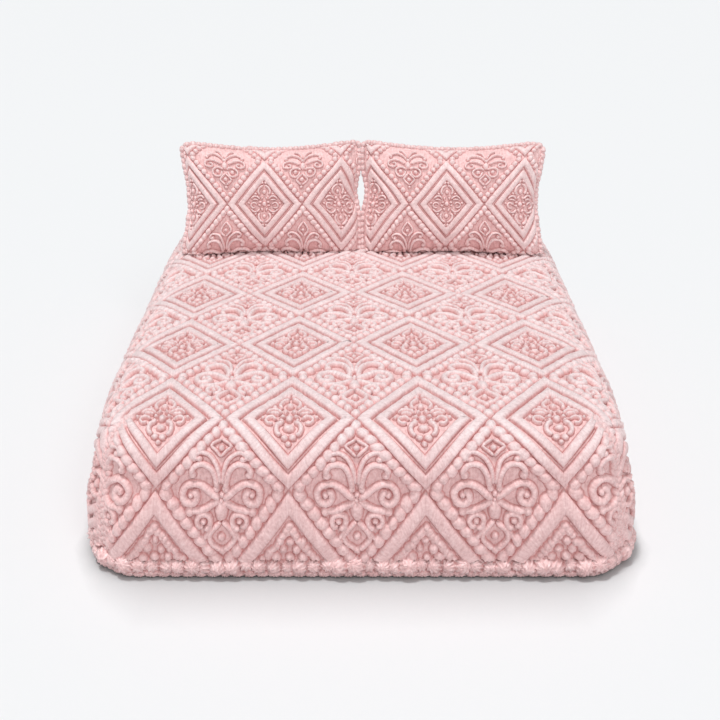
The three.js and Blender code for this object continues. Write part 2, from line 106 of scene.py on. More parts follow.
# The pillows: how far the pattern of each is shifted and dropped, and on which side the other one is.
PILLOWS = table(
    "name x width shift drop near",
    ("pillow_left", -0.348, 0.650, -0.010, -0.011, 1),
    ("pillow_right", 0.355, 0.662, -0.036, -0.011, -1),
)
PILLOW_HEIGHT = 0.444
PILLOW_HALF_THICKNESS = 0.084
PILLOW_SIDE_IN = 0.029  # the far side draws in between the ears
PILLOW_NEAR_IN = 0.0155  # and the near side, which leaves a narrow gap
PILLOW_NEAR_OUT = 0.0135  # though the near ears touch
NEAR_GAP = {"middle": 0.17, "half": 0.49}
EAR_IN = {"far": 0.020, "near": 0.007}  # the ears are rounded off
PILLOW_TOP_IN = 0.034
EAR_CURVE = 9
PILLOW_TOP_CURVE = 2.1
PILLOW_FILL = {"across": 3, "above": 2.6, "below": 4, "round": 0.6}
PILLOW_CLEAR = 0.001  # between the pillows and the tips of the bed's pile
SEAM_FADE = {"over": 0.05, "least": 0.25}  # the carving gets lower next to a seam
PILLOW_TILT = math.radians(17)
PILLOW_Y = 0.478
PILLOW_SINK = 0.036
PILLOW_PATTERN = 0.775  # the pillows carry the lattice at this scale
PILLOW_WEIGHT = 0.80  # with thinner strokes

LOOSE = np.random.default_rng(20)


# Meshes in progress

class Carving:
    """Points with a nap direction each, and faces of four and of three, gathered piece by piece."""

    def __init__(self):
        self.points, self.nap, self.quads, self.tris = [], [], [], []
        self.count = 0

    def add(self, points, nap, quads=(), tris=()):
        self.points.append(np.asarray(points, float))
        self.nap.append(np.asarray(nap, float))
        if len(quads):
            self.quads.append(np.asarray(quads) + self.count)
        if len(tris):
            self.tris.append(np.asarray(tris) + self.count)
        self.count += len(points)

    def merge(self, other, points=None):
        points = other.all_points() if points is None else points
        quads, tris = other.all_faces()
        self.add(points, np.concatenate(other.nap), quads, tris)

    def all_points(self):
        return np.concatenate(self.points)

    def all_faces(self):
        quads = np.concatenate(self.quads) if self.quads else np.zeros((0, 4), int)
        tris = np.concatenate(self.tris) if self.tris else np.zeros((0, 3), int)
        return quads, tris


def ring_faces(rings, around, closed):
    """Faces of four between successive rings of points."""
    steps = around if closed else around - 1
    k = np.arange(rings - 1)[:, None] * around
    m = np.arange(steps)[None, :]
    low, next_low = k + m, k + (m + 1) % around
    return np.stack([low, next_low, next_low + around, low + around], -1).reshape(-1, 4)


def fan(ring, tip, closed=True):
    """Faces of three from a ring of point numbers to one point."""
    ends = np.roll(ring, -1) if closed else ring[1:]
    starts = ring if closed else ring[:-1]
    return np.stack([starts, ends, np.full(len(starts), tip)], -1)


def solid_object(name, carving, pile):
    """A mesh object of a carving, with its nap and its pile, which the finish turns into painted shade and
    painted highlight.
    """
    points = carving.all_points()
    quads, tris = carving.all_faces()
    used, inverse = np.unique(np.concatenate([quads.ravel(), tris.ravel()]), return_inverse=True)
    nap = np.concatenate(carving.nap)[used]
    loops = inverse.astype(np.int32)
    mesh = bpy.data.meshes.new(name)
    mesh.vertices.add(len(used))
    mesh.vertices.foreach_set("co", points[used].astype(np.float32).ravel())
    mesh.loops.add(len(loops))
    mesh.loops.foreach_set("vertex_index", loops)
    sizes = np.concatenate([np.full(len(quads), 4), np.full(len(tris), 3)])
    starts = np.concatenate([[0], np.cumsum(sizes)[:-1]])
    mesh.polygons.add(len(sizes))
    mesh.polygons.foreach_set("loop_start", starts.astype(np.int32))
    mesh.update(calc_edges=True)
    mesh.validate()
    mesh.shade_smooth()
    # The pile share sets the painted shade low in the valleys and the painted highlight on the tips.
    shares = mesh.attributes.new("pile", "FLOAT", "POINT")
    shares.data.foreach_set("value", np.clip(pile[used], 0, 1).astype(np.float32))
    lay = mesh.attributes.new("nap", "FLOAT_VECTOR", "POINT")
    flat = np.column_stack([nap, np.zeros(len(nap))])
    lay.data.foreach_set("vector", flat.astype(np.float32).ravel())
    piece = bpy.data.objects.new(name, mesh)
    bpy.context.scene.collection.objects.link(piece)
    return piece


# Carved forms, flat: across, along, and height over the ground

SKIRT = 0.0004  # every form starts on a flat skirt, coloured with the painted shade of its foot
SKIRT_REACH = 0.0020
NAP_LIE = 0.26  # how wide the nap's fibres are for their length
DOME_RISES = (0, 3, 24, 47, 69)  # degrees up the side of a dome
POLE_NAP = 0.4  # of a dome's radius
STROKE_CUT = 0.12  # how much of its width a stroke's round end is cut short by
STROKE_LOW = 0.03  # how low its section starts, in radians
STROKE_ROUND = 0.6

# How far things stray from their places, how uneven their sizes are, and how many degrees they turn.
STRAY = {
    "bead": 0.0006, "scroll": 0.0008, "rosette": 0.0007, "petal": 0.0006, "loose": 0.0016, "corner": 0.0015,
}
UNEVEN = {
    "dome": 0.035, "bead": 0.05, "scroll": 0.04, "rosette": 0.06, "loose": 0.12, "cluster": 0.10,
    "corner": 0.08, "lobe": 0.10, "edge_bead": 0.08,
}
TURNED = {"bead": 7, "corner": 7, "edge_bead": 8}


def spread_nap():
    """A place of its own in the nap for each form, so that no two look alike."""
    return LOOSE.uniform(0, 20, 2)


def radial_nap(angle, run, middle):
    """Nap whose fibres run out from a pole: even in the middle, drawn out beyond it."""
    reach = np.minimum(run, middle) + NAP_LIE * np.maximum(run - middle, 0)
    return np.column_stack([np.cos(angle) * reach, np.sin(angle) * reach])


def dome(place, radii, height, turn=0.0, around=10):
    """A rounded tuft of pile."""
    rises = np.radians(DOME_RISES)
    angle = np.arange(around) * 2 * math.pi / around
    ring = np.stack([np.cos(angle), np.sin(angle)], -1)
    ring *= LOOSE.normal(1, UNEVEN["dome"], around)[:, None]
    reach = np.cos(rises)
    reach[0] += SKIRT_REACH / min(radii)
    flat = np.concatenate([ring * share for share in reach] + [np.zeros((1, 2))])
    flat = flat * np.asarray(radii)
    c, s = math.cos(turn), math.sin(turn)
    flat = flat @ np.array([[c, s], [-s, c]]) + place
    high = np.repeat(np.sin(rises), around) * height
    points = np.column_stack([flat, np.append(np.maximum(high, SKIRT), height)])
    run = (RIGHT_ANGLE - np.repeat(rises, around)) * min(radii)
    nap = radial_nap(np.append(np.tile(angle, len(rises)), 0), np.append(run, 0), POLE_NAP * min(radii))
    quads = ring_faces(len(rises), around, True)
    last = (len(rises) - 1) * around + np.arange(around)
    made = Carving()
    made.add(points, nap + spread_nap(), quads, fan(last, len(points) - 1))
    return made


def run_along(line):
    """The length along a line of points, from its start to each of them."""
    return np.concatenate([[0], np.cumsum(np.linalg.norm(np.diff(line, axis=0), axis=1))])


def smooth_path(points, step):
    """A smooth line through the given points, with a point about every step."""
    points = np.asarray(points, float)
    ends = np.vstack([2 * points[0] - points[1], points, 2 * points[-1] - points[-2]])
    line = []
    for k in range(len(points) - 1):
        a, b, c, d = ends[k : k + 4]
        count = max(1, round(np.linalg.norm(c - b) / step))
        t = (np.arange(count) / count)[:, None]
        bend, twist = 2 * a - 5 * b + 4 * c - d, 3 * b - a - 3 * c + d
        line.append(0.5 * (2 * b + (c - a) * t + bend * t**2 + twist * t**3))
    return np.vstack([*line, points[-1:]])


def stroke(points, width, height, step=0.0075, across=8):
    """A rounded bar of pile along a smooth line, with round ends."""
    path = smooth_path(points, step)
    tangent = np.gradient(path, axis=0)
    tangent /= np.linalg.norm(tangent, axis=1)[:, None]
    run = run_along(path)
    near_end = np.minimum(run, run[-1] - run) + STROKE_CUT * width
    thick = np.sqrt(1 - (1 - np.minimum(near_end / (width / 2), 1)) ** 2)
    beside = np.stack([-tangent[:, 1], tangent[:, 0]], -1)
    angle = np.concatenate([[0], np.linspace(STROKE_LOW, math.pi - STROKE_LOW, across - 2), [math.pi]])
    skirt = np.zeros(across)
    skirt[[0, -1]] = SKIRT_REACH, -SKIRT_REACH
    reach = np.cos(angle)[None, :] * thick[:, None] * width / 2 + skirt
    high = np.sin(angle)[None, :] * (thick[:, None] ** STROKE_ROUND) * height + SKIRT
    flat = path[:, None, :] + beside[:, None, :] * reach[:, :, None]
    points3 = np.dstack([flat, high]).reshape(-1, 3)
    nap = np.stack([np.repeat(run, across), np.tile(angle * width / 2 * NAP_LIE, len(path))], -1)
    quads = ring_faces(len(path), across, False)[:, ::-1]
    tips = np.array([np.append(path[0], SKIRT), np.append(path[-1], SKIRT)])
    first, last = np.arange(across), (len(path) - 1) * across + np.arange(across)
    tip = len(points3)
    made = Carving()
    made.add(
        np.vstack([points3, tips]),
        np.vstack([nap, [0, 0], [run[-1], 0]]) + spread_nap(),
        quads,
        np.vstack([fan(first, tip, False), fan(last, tip + 1, False)[:, ::-1]]),
    )
    return made


def diamond_ring(share, per_side):
    """Points round a diamond whose corners lie at this share of the cell's, the first one twice."""
    corners = np.array([[1, 0], [0, 1], [-1, 0], [0, -1], [1, 0]]) * [CELL_WIDTH / 2, CELL_HEIGHT / 2]
    t = (np.arange(per_side) / per_side)[:, None]
    sides = [corners[k] * (1 - t) + corners[k + 1] * t for k in range(4)]
    return np.vstack([*sides, corners[:1]]) * share


BAR_STEPS = 14  # along each side


def diamond_bar(levels):
    """A frame of pile round a diamond; levels are pairs of share and height across the bar."""
    side = math.hypot(CELL_WIDTH, CELL_HEIGHT) / 2
    depth = CELL_WIDTH * CELL_HEIGHT / 4 / side
    rings, nap = [], []
    for share, height in levels:
        flat = diamond_ring(share, BAR_STEPS)
        rings.append(np.column_stack([flat, np.full(len(flat), height)]))
        along = np.arange(len(flat)) / BAR_STEPS * side
        nap.append(np.column_stack([along, np.full(len(flat), share * depth * NAP_LIE)]))
    quads = ring_faces(len(levels), 4 * BAR_STEPS + 1, False)
    made = Carving()
    made.add(np.vstack(rings), np.vstack(nap) + spread_nap(), quads)
    return made


OUTER_BAR = (
    (0.765, SKIRT), (0.782, 0.0006), (0.787, 0.0064), (0.803, 0.0102), (0.840, 0.0117), (0.887, 0.0121),
    (0.934, 0.0117), (0.968, 0.0102), (0.985, 0.0064), (0.990, 0.0006), (1.006, SKIRT),
)
INNER_BAR = (
    (0.505, SKIRT), (0.524, 0.0006), (0.529, 0.0060), (0.545, 0.0096), (0.578, 0.0111), (0.620, 0.0114),
    (0.664, 0.0111), (0.697, 0.0096), (0.713, 0.0060), (0.718, 0.0006), (0.735, SKIRT),
)

# The scroll of a beaded diamond: strokes on the right-hand side, repeated on the left. Every path
# is in millimetres from the middle of its diamond.
PER_METRE = 1000
SCROLL_STROKES = table(
    "width height path",
    (0.0145, 0.0115, ((4, 20), (7, 50), (16, 80), (30, 97), (46, 105), (60, 105), (71, 96), (66, 84))),
    (0.0185, 0.0125, ((11, 6), (15, 34), (24, 57), (37, 70), (53, 74), (69, 70), (80, 57), (79, 43))),
    (0.0205, 0.0130, ((6, -19), (21, -10), (36, 1), (52, 12), (68, 18), (85, 16), (98, 6), (104, -9),
        (99, -24), (87, -31), (73, -29), (65, -18), (69, -6), (79, -3))),
    (0.0170, 0.0115, ((6, -24), (20, -32), (36, -40), (52, -46), (67, -48), (80, -46))),
    (0.0165, 0.0120, ((47, -89), (34, -86), (28, -73), (33, -60), (46, -54), (60, -59), (66, -72),
        (60, -84), (50, -83))),
    (0.0150, 0.0110, ((2, -73), (12, -80), (26, -95), (34, -109), (27, -125), (14, -135), (3, -142))),
    (0.0125, 0.0095, ((22, -84), (37, -101), (51, -119))),
)
SCROLL_RING = table(
    "width height path",
    (0.0105, 0.0100, ((1, 96), (15, 111), (28, 124), (14, 135), (1, 142))),
)
PILLOW_RING = table(
    "width height path",
    (0.0125, 0.0110, ((1, 90), (13, 102), (24, 116), (17, 134), (1, 157))),
)
SCROLL_TUFTS = table(
    "x y radius height both",
    (0.060, 0.087, 0.0100, 0.0115, True),
    (0.077, 0.043, 0.0120, 0.0120, True),
    (0.013, 0.004, 0.0105, 0.0115, True),
    (0.083, -0.049, 0.0125, 0.0125, True),
    (0.082, -0.011, 0.0095, 0.0135, True),
    (0.048, -0.071, 0.0090, 0.0120, True),
    (0.000, -0.010, 0.0085, 0.0115, False),
    (0.000, -0.022, 0.0075, 0.0120, False),
    (0.000, -0.108, 0.0105, 0.0115, False),
    (0.000, -0.144, 0.0110, 0.0110, False),
    (0.021, -0.153, 0.0095, 0.0100, True),
    (0.000, 0.119, 0.0095, 0.0115, False),
)
LEAF = {"y": -0.046, "half_length": 0.027, "half_width": 0.018, "height": 0.0130}

# The four loops in the upper cells of a pillow.
LOOP_STROKES = table(
    "width height path",
    (0.0125, 0.0110, ((16, -26), (40, -14), (68, -10), (89, -21), (89, -38), (70, -44), (55, -37),
        (60, -26), (71, -26))),
    (0.0130, 0.0115, ((7, -52), (27, -44), (49, -50), (58, -65), (49, -82), (28, -85), (16, -74),
        (14, -62))),
    (0.0120, 0.0110, ((1, -72), (15, -86), (25, -99), (14, -113), (1, -123))),
    (0.0120, 0.0105, ((5, -6), (20, 10), (46, 21), (70, 17), (79, 6))),
    (0.0110, 0.0100, ((3, 2), (10, 20), (22, 36), (40, 42))),
)
LOOP_TUFTS = table(
    "x y radius height both",
    (0.034, -0.063, 0.0105, 0.0120, True),
    (0.079, 0.004, 0.0085, 0.0110, True),
    (0.000, -0.008, 0.0095, 0.0120, False),
    (0.000, -0.098, 0.0105, 0.0120, False),
    (0.000, -0.133, 0.0085, 0.0100, False),
)
LOOP_LEAF = {"y": -0.034, "half_length": 0.019, "half_width": 0.013, "height": 0.0125}
PILLOW_DROP = 0.028  # the scrolls of the lower cells lie this much further down

# The beads of a diamond: how far out they lie, and half their sizes. In a rope they are longer.
BEAD_SHARE = 0.887
BEADS_ROUND = 34
PILLOW_BEADS_ROUND = 38
PILLOW_BEAD_WEIGHT = 0.88
BEAD = {"across": 0.0160, "along": 0.016072, "rope_along": 0.02132, "rope_twist": 24, "height": 0.0138}

# The rosette of a framed diamond.
ROSETTE_TUFTS = table(
    "x y rx ry turn both",
    (0.000, 0.056, 0.0100, 0.0115, 0, False),
    (0.007, 0.099, 0.0060, 0.0085, -30, True),
    (0.000, -0.033, 0.0150, 0.0120, 0, False),
    (0.0115, -0.063, 0.0115, 0.0105, 0, True),
    (0.000, -0.079, 0.0085, 0.0085, 0, False),
    (0.019, 0.008, 0.0080, 0.0055, 10, True),
    (0.011, 0.027, 0.0055, 0.0095, -25, True),
    (0.022, -0.007, 0.0085, 0.0055, -15, True),
    (0.073, 0.004, 0.0070, 0.0060, 0, True),
    (0.040, 0.047, 0.0080, 0.0060, -35, True),
)
ROSETTE_STROKES = table(
    "width path",
    (0.0120, ((20, 44), (27, 54), (26, 68), (16, 81), (4, 86))),
    (0.0145, ((15, -12), (28, -18), (34, -34), (29, -50), (20, -55))),
    (0.0095, ((21, 23), (34, 35), (50, 36), (63, 24))),
    (0.0085, ((28, 17), (42, 21), (56, 20))),
    (0.0090, ((35, -4), (45, 6), (58, 5), (64, -7), (55, -18), (43, -16))),
)
ROSETTE_MIDDLE = {"radii": (0.0105, 0.0130), "height": 0.0118}
ROSETTE_HEIGHT = 0.0112
EVEN_FROM = -0.025  # what lies lower than this is left out of an even rosette

# The tufts that fill a framed diamond where the foot edging cuts it: rows of them, and their radius.
CLUSTER_ROWS = table(
    "y xs radius",
    (0.092, (0.0,), 0.0115),
    (0.070, (-0.017, 0.018), 0.0120),
    (0.048, (-0.034, 0.001, 0.035), 0.0130),
    (0.025, (-0.054, -0.019, 0.018, 0.052), 0.0130),
    (0.002, (-0.068, -0.036, 0.0, 0.036, 0.068), 0.0130),
)
FLUFFY_BAR = 0.585  # where the row of loose tufts runs
FLUFFY_WIDER = 1.26  # the bar outside it is this much wider
LOOSE_TUFT = {"radii": (0.0135, 0.0125), "height": 0.0105}


def mirrored(x, both):
    """A place to the right, and the same to the left if there are both."""
    return (x, -x) if both else (x,)


def beads(ropey, weight=1.0, count=BEADS_ROUND):
    """The string of beads inside the edge of a beaded diamond; on the sides it twists like a rope."""
    made = Carving()
    tips = diamond_ring(1, 1)
    for k in range(count):
        place = (k / count * 4 + 1) % 4
        start, end = tips[int(place)], tips[int(place) + 1]
        share = place % 1
        spot = (start * (1 - share) + end * share) * BEAD_SHARE + LOOSE.normal(0, STRAY["bead"], 2)
        size = LOOSE.normal(1, UNEVEN["bead"]) * weight
        twist = math.radians(LOOSE.normal(BEAD["rope_twist"] if ropey else 0, TURNED["bead"]))
        along = BEAD["rope_along" if ropey else "along"] * size
        turn = math.atan2(end[1] - start[1], end[0] - start[0]) + twist
        height = BEAD["height"] * LOOSE.normal(1, UNEVEN["bead"])
        made.merge(dome(spot, (along, BEAD["across"] * size), height, turn))
    return made


def mirrored_paths(form, stray, downs=(1,)):
    """The strokes of a form, right and left, each of them turned up or down and a little astray."""
    path = np.asarray(form["path"]) / PER_METRE
    for sign in (1, -1):
        for down in downs:
            yield path * [sign, down] + LOOSE.normal(0, stray, path.shape)


def scroll(strokes, tufts, leaf, weight=1.0, drop=0.0):
    """The scrollwork of a beaded diamond, with its strokes this much thicker and lying this much lower."""
    made = Carving()
    for form in strokes:
        for path in mirrored_paths(form, STRAY["scroll"]):
            width = form["width"] * weight * LOOSE.normal(1, UNEVEN["scroll"])
            made.merge(stroke(path, width, form["height"]))
    for form in tufts:
        for x in mirrored(form["x"], form["both"]):
            radius = form["radius"] * LOOSE.normal(1, UNEVEN["scroll"])
            spot = np.array([x, form["y"]]) + LOOSE.normal(0, STRAY["scroll"], 2)
            made.merge(dome(spot, (radius, radius), form["height"]))
    made.merge(dome((0, leaf["y"]), (leaf["half_width"], leaf["half_length"]), leaf["height"], around=14))
    made.points = [made.all_points() - [0, drop, 0]]
    return made


def sheet_scroll():
    """The scrollwork of a diamond on the sheet."""
    return scroll(SCROLL_STROKES + SCROLL_RING, SCROLL_TUFTS, LEAF)


def pillow_scroll(upper):
    """The scrollwork of a diamond on a pillow: four loops in the upper cells."""
    if upper:
        return scroll(LOOP_STROKES, LOOP_TUFTS, LOOP_LEAF, PILLOW_WEIGHT)
    return scroll(SCROLL_STROKES + PILLOW_RING, SCROLL_TUFTS, LEAF, PILLOW_WEIGHT, PILLOW_DROP)


def rosette(even=False):
    """The flower of a framed diamond; an even one repeats its upper half below."""
    made = Carving()
    made.merge(dome((0, 0), ROSETTE_MIDDLE["radii"], ROSETTE_MIDDLE["height"]))
    for form in ROSETTE_TUFTS:
        if even and form["y"] < EVEN_FROM:
            continue
        for x in mirrored(form["x"], form["both"]):
            turn = math.radians(form["turn"]) * (1 if x >= 0 else -1)
            for down in (1, -1) if even and form["y"] > -EVEN_FROM else (1,):
                size = LOOSE.normal(1, UNEVEN["rosette"])
                spot = np.array([x, form["y"] * down]) + LOOSE.normal(0, STRAY["rosette"], 2)
                radii = (form["rx"] * size, form["ry"] * size)
                made.merge(dome(spot, radii, ROSETTE_HEIGHT, -turn * down, around=8))
    for form in ROSETTE_STROKES:
        height = np.asarray(form["path"])[:, 1].mean() / PER_METRE
        if even and height < EVEN_FROM:
            continue
        downs = (1, -1) if even and height > -EVEN_FROM else (1,)
        for path in mirrored_paths(form, STRAY["petal"], downs):
            made.merge(stroke(path, form["width"], ROSETTE_HEIGHT, step=0.006, across=7))
    return made


def cluster():
    """The tufts that fill a framed diamond next to the foot edging."""
    made = Carving()
    for row in CLUSTER_ROWS:
        for x in row["xs"]:
            spot = np.array([x, row["y"]]) + LOOSE.normal(0, STRAY["loose"], 2)
            radii = row["radius"] * LOOSE.normal(1, UNEVEN["loose"], 2)
            made.merge(dome(spot, radii, ROSETTE_HEIGHT * LOOSE.normal(1, UNEVEN["cluster"])))
    return made


def frames(fluffy=False):
    """The double frame of a diamond; next to the foot edging the inner bar is a row of loose tufts."""
    made = Carving()
    if not fluffy:
        made.merge(diamond_bar(OUTER_BAR))
        made.merge(diamond_bar(INNER_BAR))
        return made
    made.merge(diamond_bar([(1 - (1 - share) * FLUFFY_WIDER, height) for share, height in OUTER_BAR]))
    for spot in diamond_ring(FLUFFY_BAR, 12)[:-1]:
        radii = LOOSE_TUFT["radii"] * LOOSE.normal(1, UNEVEN["loose"], 2)
        spot = spot + LOOSE.normal(0, STRAY["loose"], 2)
        made.merge(dome(spot, radii, LOOSE_TUFT["height"], LOOSE.uniform(0, 3)))
    return made


def place_cells(carve, kind, columns, rows, scale=1.0, offset=(0.0, 0.0)):
    """One carving in every diamond of its kind, at its place in the flat cloth."""
    made = Carving()
    for i in columns:
        for j in rows:
            if (i + j) % 2 == 0 or (i % 2 == 1) != (kind == "framed"):
                continue
            form = carve(i, j)
            points = form.all_points() * scale
            points[:, 0] += i * CELL_WIDTH / 2 * scale + offset[0]
            points[:, 1] += j * CELL_HEIGHT / 2 * scale + offset[1]
            made.merge(form, points)
    return made


# The bed's form

def edge_profile():
    """Run down the rounded edge, measured along the tips of the pile, for each angle round it."""
    angle = np.linspace(0, RIGHT_ANGLE, 91)
    middle = (angle[1:] + angle[:-1]) / 2
    speed = np.hypot((ROLL_OUT + PILE) * np.cos(middle), (ROLL_DOWN + PILE) * np.sin(middle))
    return np.concatenate([[0], np.cumsum(speed * np.diff(angle))]), angle


ROLL_RUNS, ROLL_ANGLES = edge_profile()
ROLL_RUN = ROLL_RUNS[-1]
CLOTH_RUN = ROLL_RUN + WALL_TOP_Z - EDGING_Z


def bulge(z):
    """How far the sides swell out at a height."""
    low = BULGE - BULGE_FOOT * (1 - np.minimum(z, BULGE_Z) / BULGE_Z) ** 2
    return np.where(z < BULGE_Z, low, BULGE * smooth_step(z, WALL_TOP_Z, BULGE_Z))


def edge_out(run, lift=0.0):
    """How far out and how high a run down the side leads, with lift standing off the ground."""
    angle = np.interp(run, ROLL_RUNS, ROLL_ANGLES)
    z_wall = WALL_TOP_Z - (run - ROLL_RUN)
    slope = np.hypot(np.sin(angle) / ROLL_OUT, np.cos(angle) / ROLL_DOWN)
    out = np.sin(angle) * (ROLL_OUT + lift / ROLL_OUT / slope)
    high = WALL_TOP_Z + np.cos(angle) * (ROLL_DOWN + lift / ROLL_DOWN / slope)
    on_wall = run > ROLL_RUN
    return np.where(on_wall, ROLL_OUT + bulge(z_wall) + lift, out), np.where(on_wall, z_wall, high)


def crown(x, y):
    """How much the top stands up towards its middle."""
    across = np.clip(x / (TOP_X + ROLL_OUT), -1, 1)
    along = np.clip(y / (TOP_Y + ROLL_OUT), -1, 1)
    return CROWN * (1 - across**2) * (1 - along**2)


# Slow waves that keep the cloth from lying quite even: size, and how often across and along.
WAVES = table(
    "size x y start",
    (1.0, 5.1, 3.3, 0.4),
    (0.8, -7.7, 6.1, 2.1),
    (0.6, 11.3, 9.7, 4.4),
    (0.5, -3.9, 14.2, 5.2),
)


def waver(x, y, start):
    """The slow waves at a place, from -1 to 1."""
    total = sum(w["size"] * np.sin(w["x"] * x + w["y"] * y + w["start"] + start) for w in WAVES)
    return total / sum(w["size"] for w in WAVES)


RELIEF = 1.2  # how much higher the forms stand than they are described
PATTERN_WAVER = 0.0022
GROUND_WAVER = 0.0016
LUMP = 0.0007  # how lumpy the forms are, but not their skirts
LUMP_FROM = 0.001
SHORT_OF_HEM = 0.007
DART = math.pi / 4
FLAT_FROM = 0.76  # the forms flatten from this share of the turn towards a corner's dart
DART_LAP = 1.02  # past the dart the two sides overlap a little
HEM_SLACK = 0.006  # cloth further down than this past the hem is held there, and then cut
GROUND_SHARE = 0.56  # the open ground is paler than the painted shade at the feet of the forms
PILLOW_GROUND_SHARE = 0.38  # and deeper, nearer that painted shade, on the pillows


def pattern_lie(x, y):
    """Where a point of the lattice comes to lie in the cloth."""
    rows = [row["y"] for row in PATTERN_LIE]
    along, across, widen = (
        np.interp(y, rows, [row[key] for row in PATTERN_LIE]) for key in ("along", "across", "widen")
    )
    moved = x * (1 + widen) + across + PATTERN_BEND * x * x
    return moved + PATTERN_WAVER * waver(x, y, 0.0), y + along + PATTERN_WAVER * waver(x, y, 3.0)


def over_edge(x, y):
    """How far the cloth reaches past the top's edges there."""
    return np.maximum(np.abs(x) - TOP_X, 0), np.maximum(np.abs(y) - TOP_Y, 0)


def smooth_step(value, start, end):
    """Goes gently from nought at the start to one at the end."""
    t = np.clip((value - start) / (end - start), 0, 1)
    return t * t * (3 - 2 * t)


def draw_in(points):
    """Draws the shoulders of the bed in towards its four corners."""
    x, y, z = points.T
    high = SHOULDER_IN * smooth_step(z, *SHOULDER_Z)
    in_x = high * smooth_step(np.abs(y), *SHOULDER_ALONG) * (np.abs(x) / SHOULDER_HALF["x"]) ** 4
    in_y = high * smooth_step(np.abs(x), *SHOULDER_ACROSS) * (np.abs(y) / SHOULDER_HALF["y"]) ** 4
    return np.column_stack([x - np.sign(x) * in_x, y - np.sign(y) * in_y, z])


def corner_loss(dir_x, dir_y):
    """How far the sides draw in towards a corner, in this direction from the top's edge."""
    return CORNER_IN * (2 * dir_x * dir_y) ** 2


def edge_place(top_x, top_y, dir_x, dir_y, run, lift):
    """A point of the skirt: how far down from the edge of the top, and in what direction from it."""
    out, z = edge_out(run, lift)
    loss = corner_loss(dir_x, dir_y) * np.minimum(1, run / ROLL_RUN)
    x = top_x + dir_x * (out - loss)
    y = top_y + dir_y * (out - loss)
    return draw_in(np.column_stack([x, y, z + crown(x, y)]))


def bed_place(points, on_end):
    """Where flat cloth lies on the bed. Past a corner it turns from the end or from the side."""
    x, y, lift = points.T
    over_x, over_y = over_edge(x, y)
    corner = (over_x > 0) & (over_y > 0)
    run = np.where(corner, over_y if on_end else over_x, over_x + over_y)
    run = np.minimum(run, CLOTH_RUN + HEM_SLACK)
    turn = (over_x if on_end else over_y) / np.maximum(edge_out(run)[0], 1e-6)
    turn = np.where(corner, np.minimum(turn, DART), 0)
    lift = lift * (1 - smooth_step(turn, FLAT_FROM * DART, DART)) + GROUND_WAVER * waver(x, y, 1.5)
    angle = np.where(np.where(corner, on_end, over_y > 0), RIGHT_ANGLE - turn, turn)
    dir_x = np.where(over_x > 0, np.sign(x) * np.cos(angle), 0)
    dir_y = np.where(over_y > 0, np.sign(y) * np.sin(angle), 0)
    return edge_place(np.clip(x, -TOP_X, TOP_X), np.clip(y, -TOP_Y, TOP_Y), dir_x, dir_y, run, lift)


def lay_on_bed(carving, short=SHORT_OF_HEM):
    """The carving laid on the bed, ending this short of the hem, without what falls in a corner's dart."""
    flat = carving.all_points()
    flat[:, 2] += np.where(flat[:, 2] > LUMP_FROM, LUMP * LOOSE.normal(0, 1, len(flat)), 0)
    share = pile_share(flat[:, 2])
    flat[:, 2] *= RELIEF
    flat[:, 0], flat[:, 1] = pattern_lie(flat[:, 0], flat[:, 1])
    over_x, over_y = over_edge(flat[:, 0], flat[:, 1])
    ends, sides = bed_place(flat, True), bed_place(flat, False)
    turn_end = over_x / np.maximum(edge_out(over_y)[0], 1e-6)
    turn_side = over_y / np.maximum(edge_out(over_x)[0], 1e-6)
    made = Carving()
    kept = []
    for faces in carving.all_faces():
        mid_x, mid_y = over_x[faces].mean(1), over_y[faces].mean(1)
        in_corner = (mid_x > 0) & (mid_y > 0)
        on_end = mid_y >= mid_x
        turn = np.where(on_end, turn_end[faces].min(1), turn_side[faces].min(1))
        run = np.maximum(over_x, over_y)[faces].min(1)
        keep = (run < CLOTH_RUN - short) & (~in_corner | (turn < DART_LAP * DART))
        kept.append(faces[keep] + np.where(on_end[keep], 0, len(flat))[:, None])
    nap = np.concatenate(carving.nap)
    made.add(np.vstack([ends, sides]), np.vstack([nap, nap]), *kept)
    return made, np.tile(share, 2)


def pile_share(height):
    """How far up the pile a height is: low shares take painted shade, high ones the painted highlight of the
    tips.
    """
    return np.clip(height / PILE, 0, 1)


# The pillows' form

def pillow_outline(form, a, b):
    """The place across and up a pillow for a and b, which run from -1 to 1 between its seams."""
    near = a * form["near"] > 0
    gap = np.cos(np.clip((b - NEAR_GAP["middle"]) / NEAR_GAP["half"], -1, 1) * RIGHT_ANGLE) ** 2
    side_in = np.where(near, PILLOW_NEAR_IN * gap, PILLOW_SIDE_IN * (1 - b**2) ** 2)
    ear = np.where(near, EAR_IN["near"], EAR_IN["far"]) * np.abs(a * b) ** EAR_CURVE
    near_out = np.where(near, PILLOW_NEAR_OUT * a**2, 0)
    x = a * (form["width"] / 2 - side_in - 0.5 * ear + near_out)
    y = b * (PILLOW_HEIGHT / 2 - PILLOW_TOP_IN * (1 - np.abs(a) ** PILLOW_TOP_CURVE) - ear)
    return x, y


def pillow_fill(a, b):
    """How full a pillow is there, from nought at its seam."""
    level = np.where(b > 0, np.abs(b) ** PILLOW_FILL["above"], np.abs(b) ** PILLOW_FILL["below"])
    return np.maximum(0, (1 - np.abs(a) ** PILLOW_FILL["across"]) * (1 - level)) ** PILLOW_FILL["round"]


def pillow_frame(form):
    """The middle of a pillow, and the directions up along it and out of its front."""
    up = np.array([0, math.sin(PILLOW_TILT), math.cos(PILLOW_TILT)])
    front = np.array([0, -math.cos(PILLOW_TILT), math.sin(PILLOW_TILT)])
    stand = (PILLOW_HEIGHT / 2 - PILLOW_SINK) * math.cos(PILLOW_TILT)
    middle = np.array([form["x"], PILLOW_Y, TOP_Z + crown(form["x"], PILLOW_Y) + PILE + stand])
    return middle, up, front


def on_bed(points):
    """Lifts what would sink into the bed onto the tips of its pile."""
    bed = TOP_Z + crown(points[:, 0], points[:, 1]) + PILE + PILLOW_CLEAR
    points[:, 2] = np.maximum(points[:, 2], bed)
    return points


